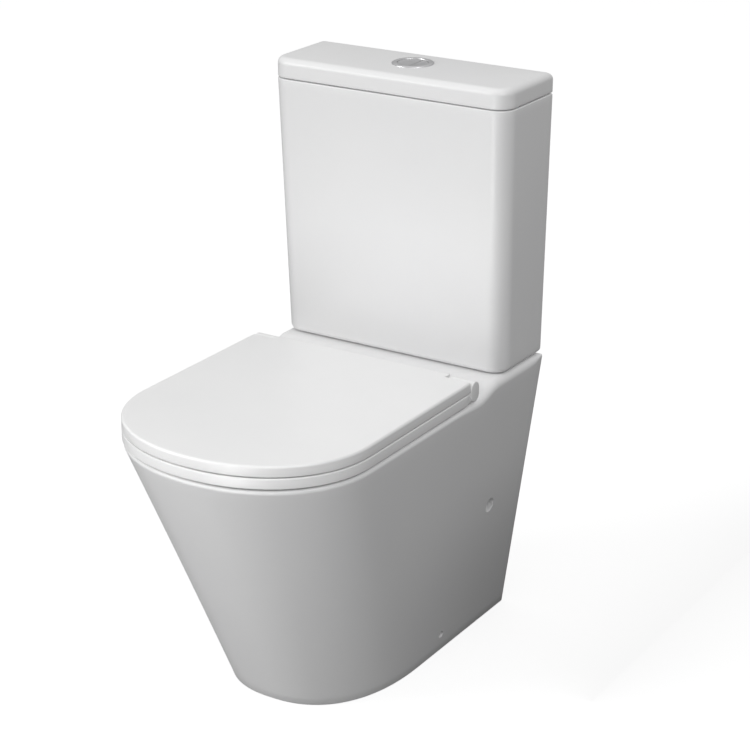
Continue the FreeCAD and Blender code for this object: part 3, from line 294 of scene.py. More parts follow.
def d_plan(half_rear, half_round, rear_y, round_y, depth, power, corner):
    """A closed D outline, from the middle of the rear round by +X: (x, y) rows."""
    corner_x = half_rear - corner
    start_y = rear_y - corner
    points = [(corner_x * step / REAR_STEPS, rear_y) for step in range(REAR_STEPS)]
    for step in range(CORNER_STEPS + 1):
        angle = 0.5 * math.pi * (1 - step / CORNER_STEPS)
        points.append((corner_x + corner * math.cos(angle), start_y + corner * math.sin(angle)))
    for step in range(1, SIDE_STEPS):
        share = step / SIDE_STEPS
        points.append((half_rear + (half_round - half_rear) * share, start_y + (round_y - start_y) * share))
    half = list(points)
    for step in range(FRONT_STEPS + 1):
        x, y = superellipse(-math.pi * step / FRONT_STEPS, half_round, depth, power)
        points.append((x, round_y + y))
    points += [(-x, y) for x, y in reversed(half[1:])]
    return np.array(points)


def pan_ring(z, inset, rear_y=BACK_Y):
    """The skirt's outline at one height, or at a height for each point.

    Its walls run straight from the foot's outline to the rim's.
    """
    rim = d_plan(DECK_HALF - inset, RIM_HALF - inset, rear_y, RIM_ROUND_Y, RIM_DEPTH - inset, RIM_POWER,
                 PAN_REAR_CORNER)
    foot = d_plan(FLOOR_HALF - inset, FLOOR_HALF - inset, rear_y, FLOOR_ROUND_Y, FLOOR_DEPTH - inset,
                  FLOOR_POWER, PAN_REAR_CORNER)
    heights = np.full(len(rim), z, dtype=float)
    shares = (heights / RIM_Z)[:, None]
    plan = foot * (1 - shares) + rim * shares
    return np.column_stack([plan, heights])


def smoothstep(value, low, high):
    share = np.clip((value - low) / (high - low), 0, 1)
    return share * share * (3 - 2 * share)


def deck_height(y):
    return RIM_Z + (DECK_Z - RIM_Z) * smoothstep(y, *RAMP_Y)


def plan_normals(plan):
    ahead = np.roll(plan, -1, axis=0) - np.roll(plan, 1, axis=0)
    normal = np.column_stack([-ahead[:, 1], ahead[:, 0]])
    normal /= np.linalg.norm(normal, axis=1)[:, None]
    outwards = np.sign(np.sum(normal * (plan - plan.mean(axis=0)), axis=1))
    return normal * np.median(outwards)


def rounded_plan(half_x, front_y, rear_y, front_radius, rear_radius):
    """A rectangle with rounded corners, from the middle of the rear round by +X: (x, y) rows."""
    rear_x = half_x - rear_radius
    top = rear_y - rear_radius
    front_x = half_x - front_radius
    bottom = front_y + front_radius
    points = [(rear_x * step / REAR_STEPS, rear_y) for step in range(REAR_STEPS)]
    for step in range(CORNER_STEPS + 1):
        angle = 0.5 * math.pi * (1 - step / CORNER_STEPS)
        points.append((rear_x + rear_radius * math.cos(angle), top + rear_radius * math.sin(angle)))
    for step in range(1, EDGE_STEPS):
        points.append((half_x, top + (bottom - top) * step / EDGE_STEPS))
    for step in range(2 * CORNER_STEPS + 1):
        angle = -0.25 * math.pi * step / CORNER_STEPS
        points.append((front_x + front_radius * math.cos(angle), bottom + front_radius * math.sin(angle)))
    for step in range(1, REAR_STEPS):
        points.append((front_x * (1 - step / REAR_STEPS), front_y))
    points.append((0.0, front_y))
    points += [(-x, y) for x, y in reversed(points[1:-1])]
    return np.array(points)


# ---------------------------------------------------------------- materials


def material(name, base, rough, build):
    mat = bpy.data.materials.new(name)
    mat.use_nodes = True
    tree = mat.node_tree
    shader = tree.nodes["Principled BSDF"]
    shader.inputs["Base Color"].default_value = (*base, 1.0)
    shader.inputs["Roughness"].default_value = rough
    mat.diffuse_color = (*base, 1.0)
    build(tree, shader)
    return mat


NOISE_LOW = 0.3  # nearly all of the noise lies between these two
NOISE_HIGH = 0.7


def noise(tree, scale, detail=3.0):
    coords = tree.nodes.new("ShaderNodeTexCoord")
    node = tree.nodes.new("ShaderNodeTexNoise")
    node.inputs["Scale"].default_value = scale
    node.inputs["Detail"].default_value = detail
    node.inputs["Roughness"].default_value = 0.5
    tree.links.new(coords.outputs["Object"], node.inputs["Vector"])
    return node.outputs["Fac"]


def vary_roughness(tree, shader, scale, low, high):
    node = tree.nodes.new("ShaderNodeMapRange")
    node.inputs["To Min"].default_value = low
    node.inputs["To Max"].default_value = high
    node.inputs["From Min"].default_value = NOISE_LOW
    node.inputs["From Max"].default_value = NOISE_HIGH
    tree.links.new(noise(tree, scale), node.inputs["Value"])
    tree.links.new(node.outputs["Result"], shader.inputs["Roughness"])


def vary_colour(tree, shader, scale, dark, light):
    ramp = tree.nodes.new("ShaderNodeValToRGB")
    ramp.color_ramp.elements[0].position = NOISE_LOW
    ramp.color_ramp.elements[0].color = (*dark, 1)
    ramp.color_ramp.elements[1].position = NOISE_HIGH
    ramp.color_ramp.elements[1].color = (*light, 1)
    tree.links.new(noise(tree, scale), ramp.inputs["Fac"])
    tree.links.new(ramp.outputs["Color"], shader.inputs["Base Color"])


def bump(tree, shader, value, strength, distance):
    node = tree.nodes.new("ShaderNodeBump")
    node.inputs["Strength"].default_value = strength
    node.inputs["Distance"].default_value = distance
    tree.links.new(value, node.inputs["Height"])
    tree.links.new(node.outputs["Normal"], shader.inputs["Normal"])


def glaze(tree, shader):
    """Fired white glaze: a faint drift of tone, a soft gloss and the long ripple of a glazed casting."""
    shader.inputs["Specular IOR Level"].default_value = 0.45
    shader.inputs["Coat Weight"].default_value = 0.18
    shader.inputs["Coat Roughness"].default_value = 0.22
    vary_colour(tree, shader, 5.0, (0.835, 0.835, 0.84), (0.85, 0.85, 0.85))
    vary_roughness(tree, shader, 30.0, 0.40, 0.48)
    bump(tree, shader, noise(tree, 22.0, 2.0), 0.06, 0.0006)


def duroplast(tree, shader):
    """Moulded white duroplast: flatter than the china and a little warmer, with a fine even skin."""
    shader.inputs["Specular IOR Level"].default_value = 0.5
    vary_colour(tree, shader, 9.0, (0.855, 0.855, 0.855), (0.87, 0.87, 0.868))
    vary_roughness(tree, shader, 60.0, 0.34, 0.42)
    bump(tree, shader, noise(tree, 900.0, 1.0), 0.05, 0.00005)


def chrome(tree, shader):
    """Chrome plate over moulded plastic, with faint polishing marks."""
    shader.inputs["Metallic"].default_value = 1.0
    vary_colour(tree, shader, 40.0, (0.68, 0.68, 0.69), (0.74, 0.74, 0.75))
    vary_roughness(tree, shader, 160.0, 0.34, 0.44)
    bump(tree, shader, noise(tree, 500.0, 1.0), 0.03, 0.00005)


def moulded(tree, shader):
    vary_colour(tree, shader, 25.0, (0.74, 0.74, 0.74), (0.80, 0.80, 0.79))
    vary_roughness(tree, shader, 120.0, 0.45, 0.6)
    bump(tree, shader, noise(tree, 700.0, 2.0), 0.12, 0.0001)


def rubber(tree, shader):
    vary_colour(tree, shader, 60.0, (0.018, 0.018, 0.019), (0.035, 0.035, 0.036))
    vary_roughness(tree, shader, 200.0, 0.6, 0.8)
    bump(tree, shader, noise(tree, 900.0, 3.0), 0.2, 0.0001)


def soft_buffer(tree, shader):
    shader.inputs["Subsurface Weight"].default_value = 0.2
    vary_colour(tree, shader, 50.0, (0.62, 0.62, 0.60), (0.70, 0.70, 0.68))
    vary_roughness(tree, shader, 150.0, 0.45, 0.6)
    bump(tree, shader, noise(tree, 800.0, 2.0), 0.1, 0.0001)


def turned_steel(tree, shader):
    shader.inputs["Metallic"].default_value = 1.0
    vary_colour(tree, shader, 80.0, (0.42, 0.42, 0.43), (0.52, 0.52, 0.53))
    vary_roughness(tree, shader, 300.0, 0.25, 0.4)
    bump(tree, shader, noise(tree, 1200.0, 2.0), 0.08, 0.00005)


def grey_seal(tree, shader):
    vary_colour(tree, shader, 120.0, (0.06, 0.063, 0.066), (0.10, 0.104, 0.108))
    vary_roughness(tree, shader, 300.0, 0.7, 0.85)
    bump(tree, shader, noise(tree, 1500.0, 3.0), 0.35, 0.0002)


MATERIALS = {
    "vitreous_china": material("vitreous_china", (0.845, 0.845, 0.845), 0.44, glaze),
    "seat_duroplast": material("seat_duroplast", (0.86, 0.86, 0.86), 0.38, duroplast),
    "chrome_plate": material("chrome_plate", (0.71, 0.71, 0.72), 0.39, chrome),
    "white_plastic": material("white_plastic", (0.78, 0.78, 0.78), 0.5, moulded),
    "black_rubber": material("black_rubber", (0.03, 0.03, 0.03), 0.7, rubber),
    "clear_buffer": material("clear_buffer", (0.66, 0.66, 0.64), 0.5, soft_buffer),
    "stainless_steel": material("stainless_steel", (0.48, 0.48, 0.49), 0.32, turned_steel),
    "grey_seal": material("grey_seal", (0.08, 0.08, 0.09), 0.8, grey_seal),
}


def finish_piece(obj, slot_name, body, *nodes, angle):
    """Gives a mesh its material, its shading, its body and the CAD nodes that it stands for."""
    obj.data.materials.clear()
    obj.data.materials.append(MATERIALS[slot_name])
    smooth(obj, angle)
    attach(obj, body)
    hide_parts(*nodes)


def dress_cad_nodes():
    """Every CAD node takes the procedural material of its slot."""
    for part in frame["record"]["subparts"]:
        obj = frame["nodes"][part["node"]]
        for holder in obj.material_slots:
            holder.link = "OBJECT"
            holder.material = MATERIALS[part["material_slot"]]


# ---------------------------------------------------------------- pan


def oval_ring(angles, z, half_x, half_y, centre_y):
    """A superellipse, at the given directions from its centre."""
    cosine = np.abs(np.cos(angles)) / half_x
    sine = np.abs(np.sin(angles)) / half_y
    reach = (cosine ** BOWL_POWER + sine ** BOWL_POWER) ** (-1 / BOWL_POWER)
    x = reach * np.cos(angles)
    y = centre_y + reach * np.sin(angles)
    return np.column_stack([x, y, np.full(len(angles), z)])


def bowl_rows(steps):
    """Smooth rows through the bowl's sections, from the rim down."""
    sections = np.array(BOWL_SECTIONS)
    rows = []
    last = len(sections) - 1
    for step in range(steps + 1):
        place = last * step / steps
        index = min(int(place), last - 1)
        share = place - index
        p0 = sections[max(index - 1, 0)]
        p1 = sections[index]
        p2 = sections[index + 1]
        p3 = sections[min(index + 2, last)]
        rows.append(0.5 * (2 * p1 + (p2 - p0) * share + (2 * p0 - 5 * p1 + 4 * p2 - p3) * share ** 2
                           + (3 * p1 - p0 - 3 * p2 + p3) * share ** 3))
    return rows


WALL_STEPS = 26
TOP_STEPS = 46
BOWL_STEPS = 54
BOWL_BOTTOM_DIP = 6.0
REAR_EDGE_RADIUS = 3.0
DECK_ROUNDING_Y = (60.0, 150.0)  # where the rim's rounding grows into the deck's
REAR_ROUNDING_Y = (BACK_Y - 26.0, BACK_Y - 6.0)  # where the deck's rounding dies out towards the wall


def edge_radius(y):
    """The rounding between skirt and top: small at the rim, larger at the deck, sharp at the wall."""
    radius = RIM_RADIUS + (DECK_RADIUS - RIM_RADIUS) * smoothstep(y, *DECK_ROUNDING_Y)
    radius *= 1.0 - 0.7 * smoothstep(y, *REAR_ROUNDING_Y)
    return np.where(y > REAR_ROUNDING_Y[1], REAR_EDGE_RADIUS, np.maximum(radius, REAR_EDGE_RADIUS))


def pan_body():
    """The outer form with the bowl sunk into it: foot, skirt, rounded rim, ramp, deck, rounded lip, bowl."""
    edge_y = pan_ring(RIM_Z, 0.0)[:, 1]
    top_z = deck_height(edge_y)
    radius = edge_radius(edge_y)
    rings = [pan_ring(0.0, 1.2), pan_ring(0.4, 0.4), pan_ring(1.4, 0.0)]
    for share in np.linspace(0.04, 1.0, WALL_STEPS):
        rings.append(pan_ring((top_z - radius) * share, 0.0))
    plan = pan_ring(top_z, 0.0)[:, :2]
    normals = plan_normals(plan)
    for angle in arc_angles(10)[1:]:
        wall = pan_ring(top_z - radius + radius * math.sin(angle), 0.0)
        inset = radius * (1 - math.cos(angle))
        place = wall[:, :2] - normals * inset[:, None]
        drop = radius * (1 - math.sin(angle))
        rings.append(np.column_stack([place, deck_height(place[:, 1]) - drop]))
    shoulder = rings[-1]
    angles = np.arctan2(shoulder[:, 1] - BOWL_CENTRE_Y, shoulder[:, 0])
    section = BOWL_SECTIONS[0]
    mouth = oval_ring(angles, RIM_Z, section[1] + LIP_RADIUS, section[2] + LIP_RADIUS, section[3])
    for share in np.linspace(0.0, 1.0, TOP_STEPS)[1:]:
        place = shoulder[:, :2] * (1 - share) + mouth[:, :2] * share
        rings.append(np.column_stack([place, deck_height(place[:, 1])]))
    for angle in arc_angles(8)[1:-1]:
        spare = LIP_RADIUS * (1 - math.sin(angle))
        rings.append(oval_ring(angles, RIM_Z - LIP_RADIUS * (1 - math.cos(angle)),
                               section[1] + spare, section[2] + spare, section[3]))
    for z, half_x, half_y, centre_y in bowl_rows(BOWL_STEPS):
        if z < RIM_Z - LIP_RADIUS:
            rings.append(oval_ring(angles, z, half_x, half_y, centre_y))
    z, half_x, half_y, centre_y = BOWL_SECTIONS[-1]
    for share in (0.97, 0.9, 0.75, 0.5):
        dip = BOWL_BOTTOM_DIP * (1 - share ** 2)
        rings.append(oval_ring(angles, z - dip, half_x * share, half_y * share, centre_y))
    return ring_solid("pan_china", rings)


BOWL_WALL = 11.0
TRAP_ROUTE = ((14.0, 95.0), (78.0, 92.0), (128.0, 196.0), (186.0, 184.0))
TRAP_BORE = 28.0
TRAP_WALL = 9.0
TRAP_BEND = 44.0
OUTLET_Z = 185.0
OUTLET_START_Y = 172.0
OUTLET_LENGTH = 74.0
OUTLET_RADIUS = 51.0
OUTLET_BORE = 43.0
WELL_RADIUS = 46.0
WELL_SHELF_Z = 366.0
DUCT_Z = 342.0
DUCT_HALF = 27.0
DUCT_OUTER_START_Y = 60.0
DUCT_BORE_START_Y = 50.0
WATERWAY_WALL = 10.0
HOLE_BASE_Z = 350.0
HOLE_LENGTH = 100.0
SIDE_HOLES = ((11.0, 205.5, 202.0), (5.3, 112.5, 28.0))  # radius, place along Y, height


def pan_hollow():
    """The space inside the skirt, open at the floor and at the back, less the bowl and the waterways."""
    behind = BACK_Y + 4
    rings = [pan_ring(z, PAN_WALL, behind) for z in (-4.0, 100.0, 200.0, 300.0, SHELF_BOTTOM_Z - 6)]
    rings.append(pan_ring(SHELF_BOTTOM_Z - 2, PAN_WALL + 2, behind))
    rings.append(pan_ring(SHELF_BOTTOM_Z, PAN_WALL + 7, behind))
    hollow = ring_solid("hollow", rings)
    angles = np.linspace(0, 2 * math.pi, 120, endpoint=False)
    bowl_rings = [oval_ring(angles, RIM_Z - 3, 140.0, 180.0, BOWL_CENTRE_Y)]
    for z, half_x, half_y, centre_y in bowl_rows(30):
        bowl_rings.append(oval_ring(angles, z - BOWL_WALL, half_x + BOWL_WALL, half_y + BOWL_WALL, centre_y))
    bowl = ring_solid("bowl_outside", bowl_rings)
    base = DUCT_Z - WATERWAY_WALL
    half = DUCT_HALF + WATERWAY_WALL
    join(bowl, pipe("trap_outside", TRAP_ROUTE, TRAP_BORE + TRAP_WALL, TRAP_BEND))
    join(bowl, cylinder("outlet", OUTLET_RADIUS, (0, OUTLET_START_Y, OUTLET_Z), OUTLET_LENGTH, "Y", 2.0))
    join(bowl, cylinder("well", WELL_RADIUS + WATERWAY_WALL, (0, VALVE_Y, base), 70.0, "Z", 5.0))
    join(bowl, block("duct", (-half, DUCT_OUTER_START_Y, base), (half, VALVE_Y, RIM_Z - 5), 6.0))
    cut(hollow, bowl)
    return hollow


def deck_hole(x, y, radius):
    return cylinder("hole", radius, (x, y, HOLE_BASE_Z), HOLE_LENGTH)


def hole_cutters():
    """The deck's holes for hinge studs, coupling bolts and inlet, and the two holes in each side."""
    holes = []
    for side in SIDES:
        holes.append(deck_hole(side * HINGE_POST_X, HINGE_Y, BUSH_RADIUS))
        holes.append(deck_hole(side * COUPLING_X, VALVE_Y, COUPLING_HOLE_RADIUS))
        for radius, y, z in SIDE_HOLES:
            start = min(side * HOLE_LENGTH, side * 2 * HOLE_LENGTH)
            holes.append(cylinder("hole", radius, (start, y, z), HOLE_LENGTH, "X", steps=48))
    holes.append(deck_hole(INLET_X, VALVE_Y, INLET_HOLE_RADIUS))
    return holes


def pan():
    """One mesh for the pan's three china nodes, which are fired as one piece."""
    body = pan_body()
    cut(body, pan_hollow())
    cut(body, pipe("trap", TRAP_ROUTE, TRAP_BORE, TRAP_BEND))
    outlet_start = (0, OUTLET_START_Y + TRAP_WALL, OUTLET_Z)
    cut(body, cylinder("outlet_bore", OUTLET_BORE, outlet_start, HOLE_LENGTH, "Y"))
    cut(body, cylinder("well_bore", WELL_RADIUS, (0, VALVE_Y, WELL_SHELF_Z), HOLE_LENGTH))
    cut(body, cylinder("well_neck", DUCT_HALF, (0, VALVE_Y, DUCT_Z), 60))
    duct_start = (-DUCT_HALF, DUCT_BORE_START_Y, DUCT_Z)
    cut(body, block("duct_bore", duct_start, (DUCT_HALF, VALVE_Y, WELL_SHELF_Z), 4.0))
    cut(body, *hole_cutters())
    finish_piece(body, "vitreous_china", "root", "pan_skirt", "pan_bowl", "pan_trapway", angle=30.0)


# ---------------------------------------------------------------- cistern and lid

CISTERN_BASE_Z = 410.6
CISTERN_TOP_Z = 788.6
CISTERN_TOP_HALF = 188.6
CISTERN_BASE_HALF = 181.4
CISTERN_TOP_FRONT = 171.1
CISTERN_BASE_FRONT = 185.4
CISTERN_CORNER = 26.0
CISTERN_WALL = 9.0
CISTERN_FLOOR_Z = 422.6
VALVE_HOLE_RADIUS = 30.0
FILL_HOLE_RADIUS = 11.2
REAR_CORNER = 3.0
LID_Z = 790.2
LID_TOP_Z = 818.3
LID_HOLE_RADIUS = 24.5


def cistern_ring(z, inset):
    share = (z - CISTERN_BASE_Z) / (CISTERN_TOP_Z - CISTERN_BASE_Z)
    half = CISTERN_BASE_HALF + (CISTERN_TOP_HALF - CISTERN_BASE_HALF) * share - inset
    front = CISTERN_BASE_FRONT + (CISTERN_TOP_FRONT - CISTERN_BASE_FRONT) * share + inset
    plan = rounded_plan(half, front, BACK_Y - inset, max(CISTERN_CORNER - inset, 4.0), REAR_CORNER)
    return np.column_stack([plan, np.full(len(plan), z)])


def rounding(ring, z, radius, upwards, steps=8):
    """Rings that round an edge: from the face out to the wall, or back from the wall to the face."""
    rings = []
    for angle in arc_angles(steps):
        inset = radius * (1 - math.sin(angle))
        drop = radius * (1 - math.cos(angle))
        rings.append(ring(z + drop if not upwards else z - drop, inset))
    return rings


def floor_hole(x, radius):
    return cylinder("hole", radius, (x, VALVE_Y, CISTERN_BASE_Z - 10), 40)


def cistern():
    """An open tank with a thick floor and rounded edges."""
    rings = rounding(cistern_ring, CISTERN_BASE_Z, 8.0, False)
    rings += [cistern_ring(z, 0.0) for z in np.linspace(CISTERN_BASE_Z + 20, CISTERN_TOP_Z - 12, 24)]
    rings += list(reversed(rounding(cistern_ring, CISTERN_TOP_Z, 1.6, True, 5)))
    shell = ring_solid("cistern_china", rings)
    inner = []
    for rise, inset in ((0.0, 6.0), (1.4, 2.0), (6.0, 0.0)):
        inner.append(cistern_ring(CISTERN_FLOOR_Z + rise, CISTERN_WALL + inset))
    inner += [cistern_ring(z, CISTERN_WALL) for z in np.linspace(460, CISTERN_TOP_Z - 4, 12)]
    for rise, inset in ((-1.5, 8.6), (0.0, 7.6), (4.0, 7.6)):
        inner.append(cistern_ring(CISTERN_TOP_Z + rise, inset))
    cut(shell, ring_solid("tank", inner))
    cut(shell, floor_hole(0, VALVE_HOLE_RADIUS))
    cut(shell, floor_hole(INLET_X, FILL_HOLE_RADIUS))
    cut(shell, floor_hole(COUPLING_X, COUPLING_HOLE_RADIUS))
    cut(shell, floor_hole(-COUPLING_X, COUPLING_HOLE_RADIUS))
    finish_piece(shell, "vitreous_china", "root", "cistern", angle=30.0)


def lid_ring(z, inset):
    plan = rounded_plan(CISTERN_TOP_HALF - inset, CISTERN_TOP_FRONT + inset, BACK_Y - inset,
                        max(CISTERN_CORNER - inset, 4.0), REAR_CORNER)
    return np.column_stack([plan, np.full(len(plan), z)])


def cistern_lid():
    """A slab with a well rounded top edge, a lip that locates it in the tank and a recess underneath."""
    rings = rounding(lid_ring, LID_Z, 1.6, False, 5)
    rings += [lid_ring(z, 0.0) for z in (LID_Z + 6, LID_Z + 12, LID_TOP_Z - 10.5)]
    rings += list(reversed(rounding(lid_ring, LID_TOP_Z, 9.5, True, 12)))
    lid = ring_solid("lid_china", rings)
    lip = [lid_ring(LID_Z + rise, inset) for rise, inset in ((-7, 12.5), (-6, 11.5), (2, 11.5))]
    join(lid, ring_solid("lip", lip))
    recess = [lid_ring(LID_Z - 12, 16.5)]
    for drop, inset in ((12, 16.5), (9, 18.0), (8, 21.0)):
        recess.append(lid_ring(LID_TOP_Z - drop, inset))
    cut(lid, ring_solid("recess", recess))
    cut(lid, cylinder("hole", LID_HOLE_RADIUS, (0, VALVE_Y, LID_Z), 60))
    finish_piece(lid, "vitreous_china", "lid", "cistern_lid", angle=30.0)


# ---------------------------------------------------------------- flush button

BEZEL_RADIUS = 29.5
BEZEL_BORE = 21.6
BEZEL_HEIGHT = 2.0
BEZEL_ROUND = 4.0
HOUSING_RADIUS = 23.6
BUTTON_RADIUS = 21.2
BUTTON_RISE = 1.2
BUTTON_THICKNESS = 5.0
BUTTON_ROUND = 0.9
BUTTON_DISH = 0.7
BUTTON_SPLIT = (4.6, 5.4)


def button_bezel():
    """A flat ring that rounds down to the lid and is softened round its bore."""
    z = LID_TOP_Z
    flat = BEZEL_RADIUS - BEZEL_ROUND
    profile = [(BEZEL_BORE, z - 2.0), (BEZEL_BORE, z + 1.2), (BEZEL_BORE + 0.25, z + 1.7)]
    profile += [(BEZEL_BORE + 0.8, z + 1.95), (flat, z + BEZEL_HEIGHT)]
    for angle in arc_angles(8)[1:]:
        profile.append((flat + BEZEL_ROUND * math.sin(angle), z + BEZEL_HEIGHT * math.cos(angle)))
    profile += [(BEZEL_RADIUS, z), (HOUSING_RADIUS, z), (HOUSING_RADIUS, z - 2.0)]
    ring = lathe("bezel", profile, (0, VALVE_Y, 0), "Z", 128)
    finish_piece(ring, "chrome_plate", "lid", "button_bezel", angle=35.0)


def flush_button(kind, low_x, high_x, body):
    """One part of the split disc, with a slightly dished top and rounded edges."""
    top = LID_TOP_Z + BUTTON_RISE
    bottom = top - BUTTON_THICKNESS
    rim = BUTTON_RADIUS - BUTTON_ROUND
    shoulder = top - BUTTON_ROUND
    profile = [(0.0, bottom), (BUTTON_RADIUS, bottom), (BUTTON_RADIUS, shoulder)]
    for angle in arc_angles(5)[1:]:
        profile.append((rim + BUTTON_ROUND * math.cos(angle), shoulder + BUTTON_ROUND * math.sin(angle)))
    for share in (0.9, 0.8, 0.65, 0.5, 0.35, 0.2):
        profile.append((BUTTON_RADIUS * share, top - BUTTON_DISH * (1 - share ** 2)))
    profile += [(0.0, top - BUTTON_DISH)]
    disc = lathe(kind + "_button", profile, (0, VALVE_Y, 0), "Z", 128)
    keep = block("keep", (low_x, VALVE_Y - 40, top - 20), (high_x, VALVE_Y + 40, top + 20))
    boolean(disc, keep, "INTERSECT")
    modifier = disc.modifiers.new("edge", "BEVEL")
    modifier.width = 0.3 * MM
    modifier.segments = 2
    modifier.limit_method = "ANGLE"
    modifier.angle_limit = math.radians(50)
    finish_piece(disc, "chrome_plate", body, kind + "_flush_button", angle=35.0)


# ---------------------------------------------------------------- seat and cover

EAR_X = (140.0, 181.0)
EAR_RADIUS = 11.0
EAR_DROP = 6.0
EAR_RISE = 1.0
BRIDGE_X = (140.0, 179.0)
SHAFT_BORE = 4.06
SEAT_REAR_Y = 100.5
SEAT_HOLE = (114.0, 135.0, -93.0)  # half width, half length, centre along Y
SEAT_LOW_EDGE = 1.2
SEAT_TOP_EDGE = 1.8
SEAT_HOLE_TOP_EDGE = 6.0
SEAT_HOLE_LOW_EDGE = 4.0


def capsule(name, x0, x1, radius, low, high, bevel):
    """A short beam along X about the hinge axis, with a capsule section and softened ends."""
    section = []
    steps = 20
    for step in range(steps + 1):
        angle = math.pi * step / steps
        section.append((math.cos(angle), math.sin(angle), high))
    for step in range(steps + 1):
        angle = math.pi + math.pi * step / steps
        section.append((math.cos(angle), math.sin(angle), low))
    softened = [(bevel * (1 - math.cos(a)), bevel * (1 - math.sin(a))) for a in arc_angles(4)[1:]]
    stations = [(x0, bevel)]
    stations += [(x0 + along, inset) for along, inset in softened]
    stations += [(x1 - along, inset) for along, inset in reversed(softened)]
    stations += [(x1, bevel)]
    rings = []
    for x, inset in stations:
        reach = radius - inset
        rings.append(np.array([(x, HINGE_Y + c * reach, middle + s * reach) for c, s, middle in section]))
    return ring_solid(name, rings)


def seat_outline(inset, z):
    half = RIM_HALF - inset
    corner = max(6.0 - inset, 1.0)
    plan = d_plan(half, half, SEAT_REAR_Y - inset, RIM_ROUND_Y, RIM_DEPTH - inset, RIM_POWER, corner)
    return np.column_stack([plan, np.full(len(plan), z)])


def seat_moulding():
    """The ring itself: a D outside, an oval hole, and rounded edges all round."""
    outline = seat_outline(0, 0)
    angles = np.arctan2(outline[:, 1] - SEAT_HOLE[2], outline[:, 0])

    def hole(outset, z):
        return oval_ring(angles, z, SEAT_HOLE[0] + outset, SEAT_HOLE[1] + outset, SEAT_HOLE[2])

    rings = []
    for angle in arc_angles(6):
        rise = SEAT_LOW_EDGE * (1 - math.cos(angle))
        rings.append(seat_outline(SEAT_LOW_EDGE * (1 - math.sin(angle)), SEAT_Z + rise))
    for angle in reversed(arc_angles(6)):
        drop = SEAT_TOP_EDGE * (1 - math.cos(angle))
        rings.append(seat_outline(SEAT_TOP_EDGE * (1 - math.sin(angle)), SEAT_TOP_Z - drop))
    shoulder = seat_outline(SEAT_TOP_EDGE, SEAT_TOP_Z)
    brow = hole(SEAT_HOLE_TOP_EDGE, SEAT_TOP_Z)
    for share in np.linspace(0, 1, 14)[1:-1]:
        rings.append(shoulder * (1 - share) + brow * share)
    for angle in reversed(arc_angles(8)):
        drop = SEAT_HOLE_TOP_EDGE * (1 - math.cos(angle))
        rings.append(hole(SEAT_HOLE_TOP_EDGE * (1 - math.sin(angle)), SEAT_TOP_Z - drop))
    for angle in reversed(arc_angles(6)):
        rise = SEAT_HOLE_LOW_EDGE * (1 - math.cos(angle))
        rings.append(hole(SEAT_HOLE_LOW_EDGE * (1 - math.sin(angle)), SEAT_Z + rise))
    underside = hole(SEAT_HOLE_LOW_EDGE, SEAT_Z)
    foot = seat_outline(SEAT_LOW_EDGE, SEAT_Z)
    for share in np.linspace(0, 1, 6)[1:-1]:
        rings.append(underside * (1 - share) + foot * share)
    return loop_solid("seat_moulding", rings)


def seat_ring():
    """The seat: the ring, and an ear at each rear corner that carries the hinge shaft."""
    obj = seat_moulding()
    for side in SIDES:
        x0, x1 = sorted((side * BRIDGE_X[0], side * BRIDGE_X[1]))
        join(obj, block("bridge", (x0, 84.0, SEAT_Z + 0.6), (x1, HINGE_Y, SEAT_TOP_Z - 0.4), 1.5))
        x0, x1 = sorted((side * EAR_X[0], side * EAR_X[1]))
        join(obj, capsule("ear", x0, x1, EAR_RADIUS, HINGE_Z - EAR_DROP, HINGE_Z + EAR_RISE, 1.5))
    for side in SIDES:
        start = min(side * 138.0, side * 175.0)
        cut(obj, cylinder("bore", SHAFT_BORE, (start, HINGE_Y, HINGE_Z), 37.0, "X", steps=32))
    finish_piece(obj, "seat_duroplast", "seat", "seat_ring", angle=34.0)


def loop_solid(name, rings):
    """A ring-shaped solid: the last ring joins the first."""
    count = len(rings[0])
    faces = []
    total = len(rings)
    for level in range(total):
        low = level * count
        high = ((level + 1) % total) * count
        for i in range(count):
            j = (i + 1) % count
            faces.append((low + i, low + j, high + j, high + i))
    obj = mesh_object(name, np.concatenate(rings), faces)
    outward(obj)
    return obj


COVER_REAR_Y = 117.5
COVER_HOLLOW_REAR_Y = 96.0
COVER_SKIN = 5.0
COVER_EDGE = 8.0
COVER_TOP_EDGE = 3.6
COVER_LOW_EDGE = 1.0
LUGS_X = ((54.0, 65.6), (128.0, 139.4))
LUG_RADIUS = 9.0
BOSS_RADIUS = 8.0
BUFFER_PLACES = ((150.0, 20.0), (96.0, -238.0))


def cover_ring(inset, z, rear_y=None):
    """The cover's outline; its rear goes in with the rest unless rear_y says where it is."""
    if rear_y is None:
        rear_y = COVER_REAR_Y - inset
    plan = d_plan(RIM_HALF - inset, RIM_HALF - inset, rear_y, RIM_ROUND_Y, RIM_DEPTH - inset, RIM_POWER, 3.0)
    return np.column_stack([plan, np.full(len(plan), z)])


